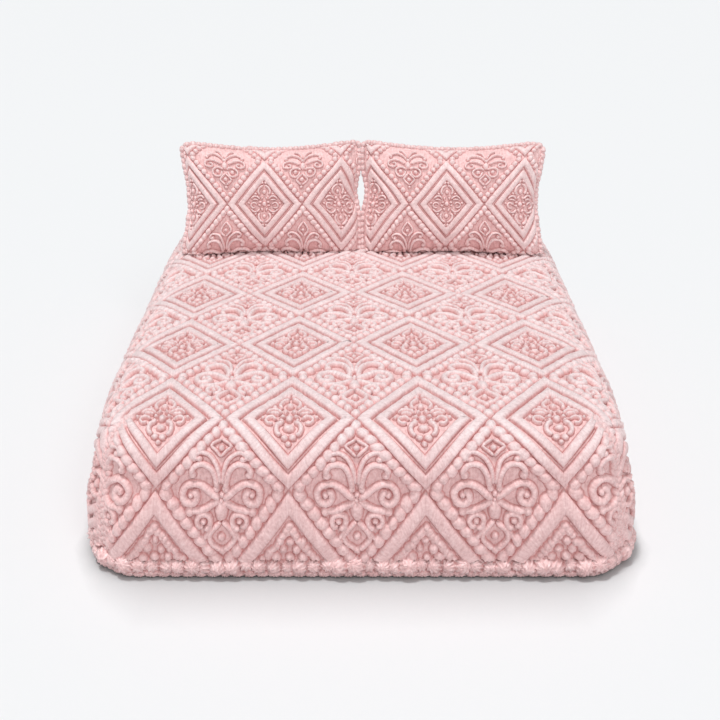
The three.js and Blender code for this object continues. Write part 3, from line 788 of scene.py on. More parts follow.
def pillow_surface(form, a, b, hand):
    """Points of a pillow's front or back before it is pressed on the bed."""
    middle, up, front = pillow_frame(form)
    x, y = pillow_outline(form, a, b)
    out = hand * PILLOW_HALF_THICKNESS * pillow_fill(a, b)
    return middle + np.outer(x, [1, 0, 0]) + np.outer(y, up) + np.outer(out, front)


def pillow_normal(form, a, b, hand):
    """The direction that a pillow's face looks in."""
    step, inside = 0.004, 0.985
    a, b = np.clip(a, -inside, inside), np.clip(b, -inside, inside)
    along_a = pillow_surface(form, a + step, b, hand) - pillow_surface(form, a - step, b, hand)
    along_b = pillow_surface(form, a, b + step, hand) - pillow_surface(form, a, b - step, hand)
    normal = np.cross(along_a, along_b) * hand
    return normal / np.linalg.norm(normal, axis=1)[:, None]


def length_tables(form):
    """Length along the case from the middle, across and up, for a and b from -1 to 1."""
    t = np.linspace(-1, 1, 401)
    still = np.zeros_like(t)
    tables = []
    for points in (pillow_surface(form, t, still, 1), pillow_surface(form, still, t, 1)):
        run = run_along(points)
        tables.append((run - np.interp(0, t, run), t))
    return tables


def lay_on_pillow(form, carving, hand):
    """The carving laid on one face of a pillow, without what falls past its seam."""
    flat = carving.all_points()
    across, upward = length_tables(form)
    x, y = flat[:, 0] * hand, flat[:, 1]
    reach_x, reach_y = across[0][-1], (upward[0][0], upward[0][-1])
    a = np.interp(x, *across)
    b = np.interp(y, *upward)
    near_seam = np.minimum(1 - np.abs(a), 1 - np.abs(b))
    lift = flat[:, 2] * RELIEF * np.clip(near_seam / SEAM_FADE["over"], SEAM_FADE["least"], 1)
    points = pillow_surface(form, a, b, hand) + pillow_normal(form, a, b, hand) * lift[:, None]
    kept = []
    for faces in carving.all_faces():
        inside = (np.abs(x[faces]).min(1) < reach_x) & (y[faces].min(1) < reach_y[1])
        kept.append(faces[inside & (y[faces].max(1) > reach_y[0])][:, ::hand])
    made = Carving()
    made.add(on_bed(points), np.concatenate(carving.nap), *kept)
    return made, pile_share(flat[:, 2] / PILLOW_PATTERN)


# Finishes

STREAK_CONTRAST = 2.2


def set_inputs(tree, node, inputs):
    """Feeds a node's entries: each is linked to a socket or set to a plain value."""
    for key, value in inputs.items():
        if isinstance(value, bpy.types.NodeSocket):
            tree.links.new(value, node.inputs[key])
        else:
            node.inputs[key].default_value = value


def add_node(tree, kind, inputs):
    node = tree.nodes.new("ShaderNode" + kind)
    set_inputs(tree, node, inputs)
    return node


def math_node(tree, operation, *values):
    node = tree.nodes.new("ShaderNodeMath")
    node.operation = operation
    set_inputs(tree, node, dict(enumerate(values)))
    return node.outputs[0]


def span_share(tree, value, start, end):
    """How far a value has gone from start to end, held between nought and one."""
    node = add_node(tree, "MapRange", {"Value": value, "From Min": start, "From Max": end})
    return node.outputs["Result"]


def mix_colours(tree, share, first, second):
    node = tree.nodes.new("ShaderNodeMix")
    node.data_type = "RGBA"
    set_inputs(tree, node, {0: share, 6: first, 7: second})
    return node.outputs[2]


def noise(tree, vector, scale, detail=2.0, roughness=0.5):
    inputs = {"Vector": vector, "Scale": scale, "Detail": detail, "Roughness": roughness}
    return add_node(tree, "TexNoise", inputs).outputs["Fac"]


def bumped(tree, height, depth):
    return add_node(tree, "Bump", {"Height": height, "Distance": depth}).outputs["Normal"]


def attribute(tree, name):
    node = tree.nodes.new("ShaderNodeAttribute")
    node.attribute_name = name
    return node.outputs


def object_place(tree):
    return tree.nodes.new("ShaderNodeTexCoord").outputs["Object"]


def object_axes(tree):
    """The X, Y and Z of a place."""
    return add_node(tree, "SeparateXYZ", {0: object_place(tree)}).outputs


def node_group(name, takes, gives):
    """A node group with its sockets by name: None stands for a colour, and a number for a value."""
    tree = bpy.data.node_groups.new(name, "ShaderNodeTree")
    for in_out, sockets in (("INPUT", takes), ("OUTPUT", gives)):
        for label, value in sockets.items():
            kind = "NodeSocketColor" if value is None else "NodeSocketFloat"
            made = tree.interface.new_socket(name=label, in_out=in_out, socket_type=kind)
            if value:
                made.default_value = value
    return tree, tree.nodes.new("NodeGroupInput").outputs, tree.nodes.new("NodeGroupOutput").inputs


def group_node(tree, name, inputs):
    node = tree.nodes.new("ShaderNodeGroup")
    node.node_tree = bpy.data.node_groups[name]
    set_inputs(tree, node, inputs)
    return node.outputs


def pile_colour_group():
    """Colour of plush: rosy on its flanks, with painted shade deep between the tufts and the tip tone, mostly
    a pale painted highlight, at the tips, in streaks.
    """
    takes = {"Valley": None, "Flank": None, "Tip": None, "Mottle": 0.15, "Streak": 0.0}
    tree, start, end = node_group("Pile colour", takes, {"Colour": None})
    broad = math_node(tree, "SUBTRACT", noise(tree, object_place(tree), scale=24), 0.5)
    unrest = math_node(tree, "ADD", start["Streak"], broad)
    unrest = math_node(tree, "MULTIPLY", unrest, start["Mottle"])
    # Painted light: low pile mixes in the painted valley shade, high pile the tip tone, a painted highlight
    # where it is paler.
    low = math_node(tree, "MULTIPLY", attribute(tree, "pile")["Fac"], 2.0)
    high = math_node(tree, "SUBTRACT", low, 1.0)
    rosy = mix_colours(tree, low, start["Valley"], start["Flank"])
    streaked = add_node(tree, "HueSaturation", {
        "Color": mix_colours(tree, high, rosy, start["Tip"]),
        "Value": math_node(tree, "ADD", unrest, 1.0),
        "Saturation": math_node(tree, "SUBTRACT", 1.0, unrest),
    })
    tree.links.new(streaked.outputs["Color"], end["Colour"])


def pile_nap_group():
    """Nap of plush: fine fibres that lie across each form, over small soft clumps."""
    takes = {"Fibre": 1.0, "Clump": 1.0}
    tree, start, end = node_group("Pile nap", takes, {"Height": 0.0, "Streak": 0.0})
    lines = noise(tree, attribute(tree, "nap")["Vector"], scale=170, detail=2.5, roughness=0.6)
    lumps = noise(tree, object_place(tree), scale=120, detail=2.5, roughness=0.6)
    fibre = math_node(tree, "MULTIPLY", lines, start["Fibre"])
    clump = math_node(tree, "MULTIPLY", lumps, start["Clump"])
    tree.links.new(math_node(tree, "ADD", fibre, clump), end["Height"])
    both = math_node(tree, "SUBTRACT", math_node(tree, "ADD", lines, lumps), 1.0)
    tree.links.new(math_node(tree, "MULTIPLY", both, STREAK_CONTRAST), end["Streak"])


def weave_group():
    """Plain weave: threads over and under in both directions."""
    tree, start, end = node_group("Plain weave", {"Threads per metre": 800.0}, {"Height": 0.0})
    place = object_axes(tree)
    waves = []
    for axis in ("X", "Y"):
        turns = math_node(tree, "MULTIPLY", place[axis], start["Threads per metre"])
        waves.append(math_node(tree, "SINE", math_node(tree, "MULTIPLY", turns, 2 * math.pi)))
    tree.links.new(math_node(tree, "MULTIPLY", *waves), end["Height"])


def plain_material(name):
    material = bpy.data.materials.new(name)
    material.use_nodes = True
    return material.node_tree, material.node_tree.nodes["Principled BSDF"]


# Every plush finish paints shade in the valleys and, where its tip is paler than its flank, a highlight on
# the tips.
PLUSH_FINISHES = table(
    "name flank tip shaded mottle fibre clump depth",
    ("plush_finish", "flank", "tip", True, 0.22, 1.0, 0.8, 0.0022),
    ("tuft_finish", "pillow_flank", "edging_tip", False, 0.28, 1.5, 0.4, 0.0040),
    ("bead_finish", "flank", "pillow_tip", False, 0.22, 1.0, 0.8, 0.0022),
    ("pillow_finish", "pillow_flank", "pillow_tip", False, 0.22, 1.0, 0.8, 0.0022),
)
PLUSH_SHADER = {
    "Roughness": 0.55, "Specular IOR Level": 0.5,
    "Sheen Weight": 0.30, "Sheen Roughness": 0.50, "Sheen Tint": (1.0, 0.95, 0.95, 1),
}
TICKING = {"dark": (0.80, 0.77, 0.71, 1), "pale": (0.86, 0.83, 0.78, 1), "depth": 0.0003, "mottle": 9.0}


def plush_material(form, plush):
    """Plush in three tones, with painted shade in the valleys and a painted highlight on paler tips; one with
    painted top light has a deeper painted shade and a whiter painted highlight of its own on the top of the
    bed.
    """
    tree, shader = plain_material(form["name"])
    painted_valley_shade, tip = (*plush.painted_valley_shade, 1), (*getattr(plush, form["tip"]), 1)
    if form["shaded"]:
        # Painted top light: towards the top of the bed the valleys take deeper painted shade and the tips a
        # whiter painted highlight.
        share = span_share(tree, object_axes(tree)["Z"], WALL_TOP_Z, TOP_Z)
        painted_valley_shade = mix_colours(tree, share, painted_valley_shade, (*plush.top_painted_valley_shade, 1))
        tip = mix_colours(tree, share, tip, (*plush.top_painted_highlight, 1))
    nap = group_node(tree, "Pile nap", {"Fibre": form["fibre"], "Clump": form["clump"]})
    colour = group_node(tree, "Pile colour", {
        "Valley": painted_valley_shade, "Flank": (*getattr(plush, form["flank"]), 1), "Tip": tip,
        "Mottle": form["mottle"], "Streak": nap["Streak"],
    })
    normal = bumped(tree, nap["Height"], form["depth"])
    set_inputs(tree, shader, {**PLUSH_SHADER, "Base Color": colour["Colour"], "Normal": normal})


def ticking_material():
    tree, shader = plain_material("ticking_finish")
    weave = group_node(tree, "Plain weave", {})
    mottle = noise(tree, object_place(tree), TICKING["mottle"])
    set_inputs(tree, shader, {
        "Base Color": mix_colours(tree, mottle, TICKING["dark"], TICKING["pale"]),
        "Normal": bumped(tree, weave["Height"], TICKING["depth"]),
        "Roughness": 0.85,
    })


# Settings that a user would change

def colour_property(name, default, where):
    return bpy.props.FloatVectorProperty(
        name=name, description="Colour " + where, default=default, subtype="COLOR", size=3, min=0, max=1
    )


def length_property(name, default, description):
    return bpy.props.FloatProperty(name=name, description=description, default=default, unit="LENGTH")


class BeddingPlush(bpy.types.PropertyGroup):
    # Painted light: the valley colours are painted shade, and the tip colours paler than their flanks are
    # painted highlight.
    painted_valley_shade: colour_property("Valley", (0.66, 0.300, 0.290), "between the tufts")
    top_painted_valley_shade: colour_property("Top valley", (0.55, 0.225, 0.215), "between the tufts on the top")
    flank: colour_property("Flank", (0.800, 0.505, 0.498), "halfway up the pile")
    tip: colour_property("Tip", (0.850, 0.562, 0.556), "at the tips of the pile")
    top_painted_highlight: colour_property("Top tip", (0.860, 0.705, 0.708), "at the tips of the pile on the top")
    pillow_flank: colour_property("Pillow flank", (0.930, 0.640, 0.633), "halfway up the pillows' pile")
    pillow_tip: colour_property("Pillow tip", (0.905, 0.690, 0.685), "at the tips of the pillows' pile")
    edging_tip: colour_property("Edging tip", (0.905, 0.570, 0.565), "at the tips of the edging's tufts")


class BeddingSizes(bpy.types.PropertyGroup):
    ground_step: length_property("Ground step", 0.0150, "Facet size of the plush ground")
    tuft: length_property("Tuft", 0.038, "Width of a tuft of the foot edging")
    bead: length_property("Bead", 0.0215, "Pitch of the beads on a pillow's seam")


class BeddingStudio(bpy.types.PropertyGroup):
    focal: bpy.props.FloatProperty(
        name="Focal length", description="Lens of the camera on a 36 mm sensor", default=56.25, min=1
    )
    pitch: bpy.props.FloatProperty(
        name="Pitch", description="How far the camera looks down", default=math.radians(24.95),
        subtype="ANGLE",
    )
    distance: length_property("Distance", 3.640, "Camera to the middle of the bed")
    height: length_property("Height", 1.892, "Height of the camera")


# Pieces

def add_piece(name, carving, pile, finish, slot_name, *nodes):
    """A piece of the model from a carving in its place; nodes are the solids that it stands in for."""
    piece = solid_object(name, carving, pile)
    piece.data.materials.append(bpy.data.materials[finish])
    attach(piece, "root")
    if nodes:
        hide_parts(*nodes)
    return piece


def carve_sheet(name, kind, carve):
    """One piece of the sheet: a form in every diamond of its kind, laid on the bed."""
    flat = place_cells(carve, kind, range(-7, 8), range(-3, 12), offset=(0, FIRST_TIP_Y))
    add_piece(name, *lay_on_bed(flat), "plush_finish", "carved_plush")


class BEDDING_OT_materials(bpy.types.Operator):
    """Makes the shared node groups and the finishes."""

    bl_idname = "bedding.materials"
    bl_label = "Finishes"

    def execute(self, context):
        pile_colour_group()
        pile_nap_group()
        weave_group()
        for form in PLUSH_FINISHES:
            plush_material(form, context.scene.bedding_plush)
        ticking_material()
        return {"FINISHED"}


class BEDDING_OT_mattress(bpy.types.Operator):
    """Finishes the mattress in woven ticking."""

    bl_idname = "bedding.mattress"
    bl_label = "Mattress"

    def execute(self, context):
        block = bpy.data.objects["mattress"]
        block.data.materials.clear()
        block.data.materials.append(bpy.data.materials["ticking_finish"])
        return {"FINISHED"}


GROUND_PAST = {"x": 0.03, "y": 0.04}  # the flat ground reaches this much past the cloth, and is cut back


class BEDDING_OT_sheet(bpy.types.Operator):
    """Lays the plush ground of the fitted sheet over the mattress."""

    bl_idname = "bedding.sheet"
    bl_label = "Fitted sheet"

    def execute(self, context):
        step = context.scene.bedding_sizes.ground_step
        reach_x = TOP_X + CLOTH_RUN + GROUND_PAST["x"]
        reach_y = TOP_Y + CLOTH_RUN + GROUND_PAST["y"]
        xs = np.linspace(-reach_x, reach_x, round(2 * reach_x / step) + 1)
        ys = np.linspace(-reach_y, reach_y, round(2 * reach_y / step) + 1)
        grid_x, grid_y = np.meshgrid(xs, ys)
        flat = np.column_stack([grid_x.ravel(), grid_y.ravel(), np.zeros(grid_x.size)])
        ground = Carving()
        ground.add(flat, flat[:, :2] * [1, NAP_LIE], ring_faces(len(ys), len(xs), False))
        laid, pile = lay_on_bed(ground, 0)
        sheet = add_piece(
            "sheet_ground", laid, pile + GROUND_SHARE, "plush_finish", "carved_plush", "fitted_sheet"
        )
        thick = sheet.modifiers.new("Cloth", "SOLIDIFY")
        thick.thickness = CLOTH
        thick.offset = -1
        return {"FINISHED"}


LOWEST_FRAMED = -2  # the row of framed diamonds that the foot edging cuts
PLAIN_ROWS = range(9)  # on the top the beads don't twist
PLAIN_COLUMNS = range(-3, 4)


class BEDDING_OT_frames(bpy.types.Operator):
    """Raises the double frames and the rosettes of the framed diamonds on the sheet."""

    bl_idname = "bedding.frames"
    bl_label = "Framed diamonds"

    def execute(self, context):
        carve_sheet("sheet_frames", "framed", lambda i, j: frames(j == LOWEST_FRAMED))
        carve_sheet("sheet_rosettes", "framed", lambda i, j: cluster() if j == LOWEST_FRAMED else rosette())
        return {"FINISHED"}


class BEDDING_OT_scrolls(bpy.types.Operator):
    """Raises the beads and the scrolls of the beaded diamonds on the sheet."""

    bl_idname = "bedding.scrolls"
    bl_label = "Beaded diamonds"

    def execute(self, context):
        def string(i, j):
            return beads(ropey=j not in PLAIN_ROWS or i not in PLAIN_COLUMNS)

        carve_sheet("sheet_beads", "beaded", string)
        carve_sheet("sheet_scrolls", "beaded", lambda i, j: sheet_scroll())
        return {"FINISHED"}


# The tufts over the dart at each corner: columns of them, and the first tuft that each one has.
CORNER_COLUMNS = ((-3, 19), (-1, 0), (1, 0), (3, 19))
CORNER_TUFTS = 25
CORNER_PITCH = 0.0178
CORNER_START = 0.030  # the first one lies this far down
CORNER_TUFT = {"radii": (0.0200, 0.0120), "height": 0.0095, "turn": -35}
CORNER_SPREAD = {"most": 0.0105, "share": 0.18}  # half of the way between two columns
CORNER_LEAST_OUT = 0.03
CORNER_LIFT = 0.0005


class BEDDING_OT_corners(bpy.types.Operator):
    """Sews columns of long tufts over the dart at each corner of the sheet."""

    bl_idname = "bedding.corners"
    bl_label = "Corner tufts"

    def execute(self, context):
        made = Carving()
        piles = []
        for side_x, side_y in ((-1, -1), (1, -1), (1, 1), (-1, 1)):
            for column, first in CORNER_COLUMNS:
                for k in range(first, CORNER_TUFTS):
                    run = CORNER_START + (k + (0.5 if column > 0 else 0)) * CORNER_PITCH
                    radii = np.array(CORNER_TUFT["radii"]) * LOOSE.normal(1, UNEVEN["corner"])
                    turn = math.radians(LOOSE.normal(CORNER_TUFT["turn"] * np.sign(column), TURNED["corner"]))
                    form = dome((0, 0), radii, CORNER_TUFT["height"], turn)
                    flat = form.all_points()
                    out = float(edge_out(np.array(run))[0])
                    spread = min(CORNER_SPREAD["most"], CORNER_SPREAD["share"] * out) * column
                    across = flat[:, 0] + spread + LOOSE.normal(0, STRAY["corner"])
                    angle = DART + across / max(out, CORNER_LEAST_OUT)
                    down = run + flat[:, 1] + LOOSE.normal(0, STRAY["corner"])
                    laid = edge_place(
                        side_x * TOP_X, side_y * TOP_Y, side_x * np.cos(angle), side_y * np.sin(angle),
                        np.clip(down, 0, CLOTH_RUN), flat[:, 2] + CORNER_LIFT,
                    )
                    turned = -side_x * side_y
                    faces = [each[:, ::turned] for each in form.all_faces()]
                    made.add(laid, np.concatenate(form.nap), *faces)
                    piles.append(pile_share(flat[:, 2]))
        add_piece("sheet_corners", made, np.concatenate(piles), "plush_finish", "carved_plush")
        return {"FINISHED"}


def edge_stations(out, pitch):
    """Places about a pitch apart round the foot of the bed, this far out.

    Each has its place on the edge of the top, the angle and the direction away from it, and the
    corner's loss there.
    """
    corners = [(-TOP_X, -TOP_Y), (TOP_X, -TOP_Y), (TOP_X, TOP_Y), (-TOP_X, TOP_Y)]
    places = []
    for quarter in range(4):
        start, end = np.array(corners[quarter]), np.array(corners[(quarter + 1) % 4])
        away = (quarter - 1) * RIGHT_ANGLE
        count = round(np.linalg.norm(end - start) / pitch)
        places += [(start + (end - start) * k / count, away) for k in range(count)]
        count = round(out * RIGHT_ANGLE / pitch)
        places += [(end, away + RIGHT_ANGLE * k / count) for k in range(count)]
    stations = []
    for place, away in places:
        direction = np.array([math.cos(away), math.sin(away)])
        stations.append((place, away, direction, corner_loss(*direction)))
    return stations


TUFT_RIM = -0.35  # of a right angle, seen from the middle of the tuft
TUFT_POLE = 0.97  # the pole is pressed in a little
TUFT_MIDDLE = 0.3  # the nap is even in this much of the tuft
RIDGE_RISE = 0.7  # how far the ridges stand up, for how far they stand out
TUFT_NAP = 0.028  # the nap of a tuft is laid out for a tuft this big
RIM_PILE = 0.3  # how far up the pile the middle of a tuft is; below it, towards the rim, painted shade deepens
GROOVE_PILE = 0.50  # and how far up its grooves are, for its ridges, so painted shade darkens the grooves


def tuft_template(around, rings, ridges, depth):
    """A round tuft seen from its pole: ridges run from the pole to the rim."""
    rise = np.linspace(TUFT_RIM, 1, rings + 1)[:-1] * RIGHT_ANGLE
    angle = np.arange(around) * 2 * math.pi / around
    ridge = np.cos(ridges * angle)
    points = []
    for r in rise:
        reach = np.cos(r) * (1 + depth * ridge)
        high = np.sin(r) + RIDGE_RISE * depth * ridge * np.cos(r)
        points.append(np.stack([reach * np.cos(angle), reach * np.sin(angle), high], -1))
    points = np.vstack([*points, [[0, 0, TUFT_POLE]]])
    quads = ring_faces(rings, around, True)
    last = (rings - 1) * around + np.arange(around)
    run = np.append(RIGHT_ANGLE - np.repeat(rise, around), 0)
    nap = radial_nap(np.append(np.tile(angle, rings), 0), run, TUFT_MIDDLE)
    groove = np.append(np.tile(0.5 + 0.5 * ridge, rings), 1.0)
    return points, nap, quads, fan(last, len(points) - 1), groove


def tuft_row(rows):
    """Tufts placed one by one: each row holds a place, the direction it faces, its size and its turn."""
    made = Carving()
    points, nap, quads, tris, groove = tuft_template(around=33, rings=5, ridges=11, depth=0.13)
    for place, away, radii, roll, lean in rows:
        c, s = math.cos(roll), math.sin(roll)
        turned = points.copy()
        turned[:, :2] = turned[:, :2] @ np.array([[c, s], [-s, c]])
        facing = np.array([math.cos(away) * math.cos(lean), math.sin(away) * math.cos(lean), math.sin(lean)])
        beside = np.array([-math.sin(away), math.cos(away), 0])
        axes = np.array([beside, np.cross(facing, beside), facing])
        made.add((turned * radii) @ axes + place, nap * TUFT_NAP + spread_nap(), quads, tris)
    # Painted shade: each tuft is darker towards its underside and along its grooves.
    pile = np.clip(points[:, 2] * (1 - RIM_PILE) + RIM_PILE, 0, 1)
    pile *= GROOVE_PILE + (1 - GROOVE_PILE) * groove
    return made, np.tile(pile, len(rows))


# The tufts of the foot edging and the lobes below them: how high they lie, how far in from the side at
# a height, their share of a corner's loss, half their width for the tufts' pitch, half height and depth.
FOOT_TUFT = {"z": 0.0405, "side_z": 0.040, "in": 0.004, "loss": 0.6, "width": 0.66, "radii": (0.0245, 0.0285)}
FOOT_LOBE = {"z": 0.0138, "side_z": 0.012, "in": 0.007, "loss": 0.9, "width": 0.60, "radii": (0.0137, 0.0235)}
FOOT_LOOSE = {"size": 0.13, "slide": 0.0025, "z": 0.0020, "swing": 0.38, "lean": (0.10, 0.30)}
FOOT_SIZES = (0.72, 1.3)
LOBE_PITCH = 0.92  # of the tufts' pitch


class BEDDING_OT_foot_edging(bpy.types.Operator):
    """Sews the row of fluffy tufts round the foot of the sheet, over a row of lower lobes."""

    bl_idname = "bedding.foot_edging"
    bl_label = "Foot edging"

    def execute(self, context):
        pitch = context.scene.bedding_sizes.tuft
        loose = FOOT_LOOSE
        rows = []
        out = ROLL_OUT + bulge(FOOT_TUFT["side_z"]) - FOOT_TUFT["in"]
        for place, away, direction, loss in edge_stations(ROLL_OUT + BULGE, pitch):
            size = np.clip(LOOSE.normal(1, loose["size"]), *FOOT_SIZES)
            slide = LOOSE.normal(0, loose["slide"]) * np.array([-direction[1], direction[0]])
            flat = place + direction * (out - FOOT_TUFT["loss"] * loss) + slide
            spot = np.array([*flat, FOOT_TUFT["z"] + LOOSE.normal(0, loose["z"])])
            radii = np.array([pitch * FOOT_TUFT["width"], *FOOT_TUFT["radii"]]) * size
            swing = LOOSE.normal(0, loose["swing"])
            rows.append((spot, away + swing, radii, LOOSE.uniform(0, 6), LOOSE.normal(*loose["lean"])))
        out = ROLL_OUT + bulge(FOOT_LOBE["side_z"]) - FOOT_LOBE["in"]
        for place, away, direction, loss in edge_stations(ROLL_OUT + BULGE, pitch * LOBE_PITCH):
            flat = place + direction * (out - FOOT_LOBE["loss"] * loss)
            width = pitch * FOOT_LOBE["width"] * LOOSE.normal(1, UNEVEN["lobe"])
            radii = np.array([width, *FOOT_LOBE["radii"]])
            rows.append((np.array([*flat, FOOT_LOBE["z"]]), away, radii, 0.0, 0.0))
        add_piece("foot_tufts", *tuft_row(rows), "tuft_finish", "tufted_edging", "foot_edging")
        return {"FINISHED"}


# The section of the band, from its foot up the outside and down the inside: height, and how far out.
BAND_SECTION = (
    (0.001, 0.000), (0.010, 0.005), (0.020, 0.006), (0.034, 0.007), (0.050, 0.006), (0.061, 0.001),
    (0.061, -0.003), (0.001, -0.003),
)
BAND_PITCH = 0.030
BAND_PILE = 0.1


class BEDDING_OT_foot_band(bpy.types.Operator):
    """Adds the woven band that carries the tufts of the foot edging."""

    bl_idname = "bedding.foot_band"
    bl_label = "Foot band"

    def execute(self, context):
        stations = edge_stations(ROLL_OUT, BAND_PITCH)
        rings = []
        for place, _, direction, loss in stations:
            for z, out in BAND_SECTION:
                reach = ROLL_OUT + float(bulge(z)) + out - loss
                rings.append((*(place + direction * reach), z))
        points = np.array(rings)
        quads = ring_faces(len(stations) + 1, len(BAND_SECTION), True) % len(points)
        made = Carving()
        made.add(points, points[:, [0, 2]], quads)
        add_piece("foot_band", made, np.full(len(points), BAND_PILE), "tuft_finish", "tufted_edging")
        return {"FINISHED"}


# The case of a pillow: its facets, which crowd towards the seams, and the size its nap is laid out for.
CASE_COLUMNS = 96
CASE_LAYERS = 68
CASE_CROWD = 0.86
CASE_NAP = (0.33, 0.22 * NAP_LIE)
SEAM_WELD = 0.0002
PILLOW_COLUMNS = range(-3, 6)
PILLOW_ROWS = range(-2, 3)


class BEDDING_OT_pillows(bpy.types.Operator):
    """Fills the two pillows and carves their cases front and back."""

    bl_idname = "bedding.pillows"
    bl_label = "Pillows"

    def execute(self, context):
        for form in PILLOWS:
            self.fill(form)
            self.carve(form)
        return {"FINISHED"}

    def fill(self, form):
        """The case itself: two faces that share their seam."""
        turn = CASE_CROWD * RIGHT_ANGLE
        a = np.sin(np.linspace(-turn, turn, CASE_COLUMNS)) / math.sin(turn)
        b = np.sin(np.linspace(-turn, turn, CASE_LAYERS)) / math.sin(turn)
        a, b = (grid.ravel() for grid in np.meshgrid(a, b))
        faces = ring_faces(CASE_LAYERS, CASE_COLUMNS, False)
        made = Carving()
        for hand in (1, -1):
            points = on_bed(pillow_surface(form, a, b, hand))
            made.add(points, np.column_stack([a, b]) * CASE_NAP, faces[:, ::hand])
        pile = np.full(made.count, PILLOW_GROUND_SHARE)
        piece = add_piece(form["name"] + "_case", made, pile, "pillow_finish", "carved_plush", form["name"])
        weld = piece.modifiers.new("Seam", "WELD")
        weld.merge_threshold = SEAM_WELD

    def carve(self, form):
        """Its frames, rosettes, beads and scrolls, the same on the front and the back."""
        # The cell in the middle of a pillow is a framed one, so the lattice starts a column on.
        offset = (form["shift"] - CELL_WIDTH / 2 * PILLOW_PATTERN, form["drop"])
        for part, kind, carve in (
            ("frames", "framed", lambda i, j: frames()),
            ("rosettes", "framed", lambda i, j: rosette(True)),
            ("beads", "beaded", lambda i, j: beads(j < 0, PILLOW_BEAD_WEIGHT, PILLOW_BEADS_ROUND)),
            ("scrolls", "beaded", lambda i, j: pillow_scroll(j > 0)),
        ):
            flat = place_cells(carve, kind, PILLOW_COLUMNS, PILLOW_ROWS, PILLOW_PATTERN, offset)
            both = Carving()
            piles = []
            for hand in (1, -1):
                laid, pile = lay_on_pillow(form, flat, hand)
                both.merge(laid)
                piles.append(pile)
            name = f"{form['name']}_{part}"
            add_piece(name, both, np.concatenate(piles), "pillow_finish", "carved_plush")


SEAM_FOOT = -0.9  # the beads end a little above the foot of a pillow
SEAM_STEPS = 120
SEAM_EVEN = 9  # the way out from the seam is evened over this many points


def seam_line(form):
    """The seam of a pillow up one side, over the top and down the other, and the way out from it."""
    t = np.linspace(0, 1, SEAM_STEPS)
    legs = (
        (np.full_like(t, -1), SEAM_FOOT + (1 - SEAM_FOOT) * t),
        (-1 + 2 * t, np.ones_like(t)),
        (np.ones_like(t), 1 - (1 - SEAM_FOOT) * t),
    )
    lines = [np.column_stack(pillow_outline(form, a, b)) for a, b in legs]
    line = np.vstack([lines[0], lines[1][1:], lines[2][1:]])
    tangent = np.gradient(line, axis=0)
    window = np.ones(SEAM_EVEN) / SEAM_EVEN
    padded = [np.pad(each, SEAM_EVEN // 2, "edge") for each in (-tangent[:, 1], tangent[:, 0])]
    away = np.column_stack([np.convolve(each, window, "valid") for each in padded])
    return line, away / np.linalg.norm(away, axis=1)[:, None]


# A bead of a pillow's seam: half its length along, its half thickness and how far it stands out.
EDGE_BEAD = {"along": 0.0150, "thick": 0.0125, "out": 0.0102}
EDGE_BEAD_OUT = 0.0040  # its middle lies this far out from the seam
EDGE_BEAD_SLANT = 28
EDGE_BEAD_NAP = 0.012
# The grooves of the seam beads take painted shade, down to this share of the pile.
EDGE_GROOVE_PILE = 0.55


class BEDDING_OT_pillow_edging(bpy.types.Operator):
    """Strings the beads along the seam of each pillow."""

    bl_idname = "bedding.pillow_edging"
    bl_label = "Pillow edging"

    def execute(self, context):
        half, nap, quads, tris, groove = tuft_template(around=12, rings=5, ridges=6, depth=0.05)
        ball = np.vstack([half, half * [1, 1, -1]])
        faces = [np.vstack([each, each[:, ::-1] + len(half)]) for each in (quads, tris)]
        pile = np.tile(EDGE_GROOVE_PILE + (1 - EDGE_GROOVE_PILE) * groove, 2)
        for form in PILLOWS:
            middle, up, front = pillow_frame(form)
            line, away = seam_line(form)
            run = run_along(line)
            count = round(run[-1] / context.scene.bedding_sizes.bead)
            made = Carving()
            for k in range(count + 1):
                at = run[-1] * k / count
                spot = np.array([np.interp(at, run, line[:, m]) for m in (0, 1)])
                out = np.array([np.interp(at, run, away[:, m]) for m in (0, 1)])
                out /= np.linalg.norm(out)
                spot += out * EDGE_BEAD_OUT
                place = middle + np.array([spot[0], 0, 0]) + up * spot[1]
                outward = np.array([out[0], 0, 0]) + up * out[1]
                along = np.cross(outward, front)
                slant = math.radians(LOOSE.normal(EDGE_BEAD_SLANT, TURNED["edge_bead"]))
                slanted = along * math.cos(slant) + front * math.sin(slant)
                beside = front * math.cos(slant) - along * math.sin(slant)
                size = LOOSE.normal(1, UNEVEN["edge_bead"])
                axes = np.array([
                    slanted * EDGE_BEAD["along"], beside * EDGE_BEAD["thick"], outward * EDGE_BEAD["out"]
                ])
                points = on_bed(ball @ (axes * size) + place)
                made.add(points, np.tile(nap * EDGE_BEAD_NAP, (2, 1)) + spread_nap(), *faces)
            name = form["name"] + "_beads_edge"
            piles = np.tile(pile, count + 1)
            add_piece(name, made, piles, "bead_finish", "beaded_edging", form["name"] + "_edging")
        return {"FINISHED"}


# Soft light from overhead, a little from the left, and a weaker one from the front.
STUDIO_LIGHTS = table(
    "name energy width lean side",
    ("key", 1.70, 8, 3, -10),
    ("fill", 1.12, 40, 44, 14),
)
WORLD_STRENGTH = 0.34
FLOOR_HALF = 30.0
FLOOR_SHADER = {"Roughness": 0.9, "Specular IOR Level": 0.1}
FLOOR_PAINTED_SHADOW = (0.22, 0.23, 0.23, 1)
FLOOR_PALE = (0.815, 0.828, 0.840, 1)

# The floor carries a painted shadow this close to the bed, and further out in front of it, from none to all
# of it.
SHADE = {"reach": 0.06, "in_front": 0.18, "y": (-0.95, -1.08), "x": (0.80, 0.60), "samples": 16}
CAMERA_X = -0.003
CAMERA_REACH = 100  # past the edge of the floor


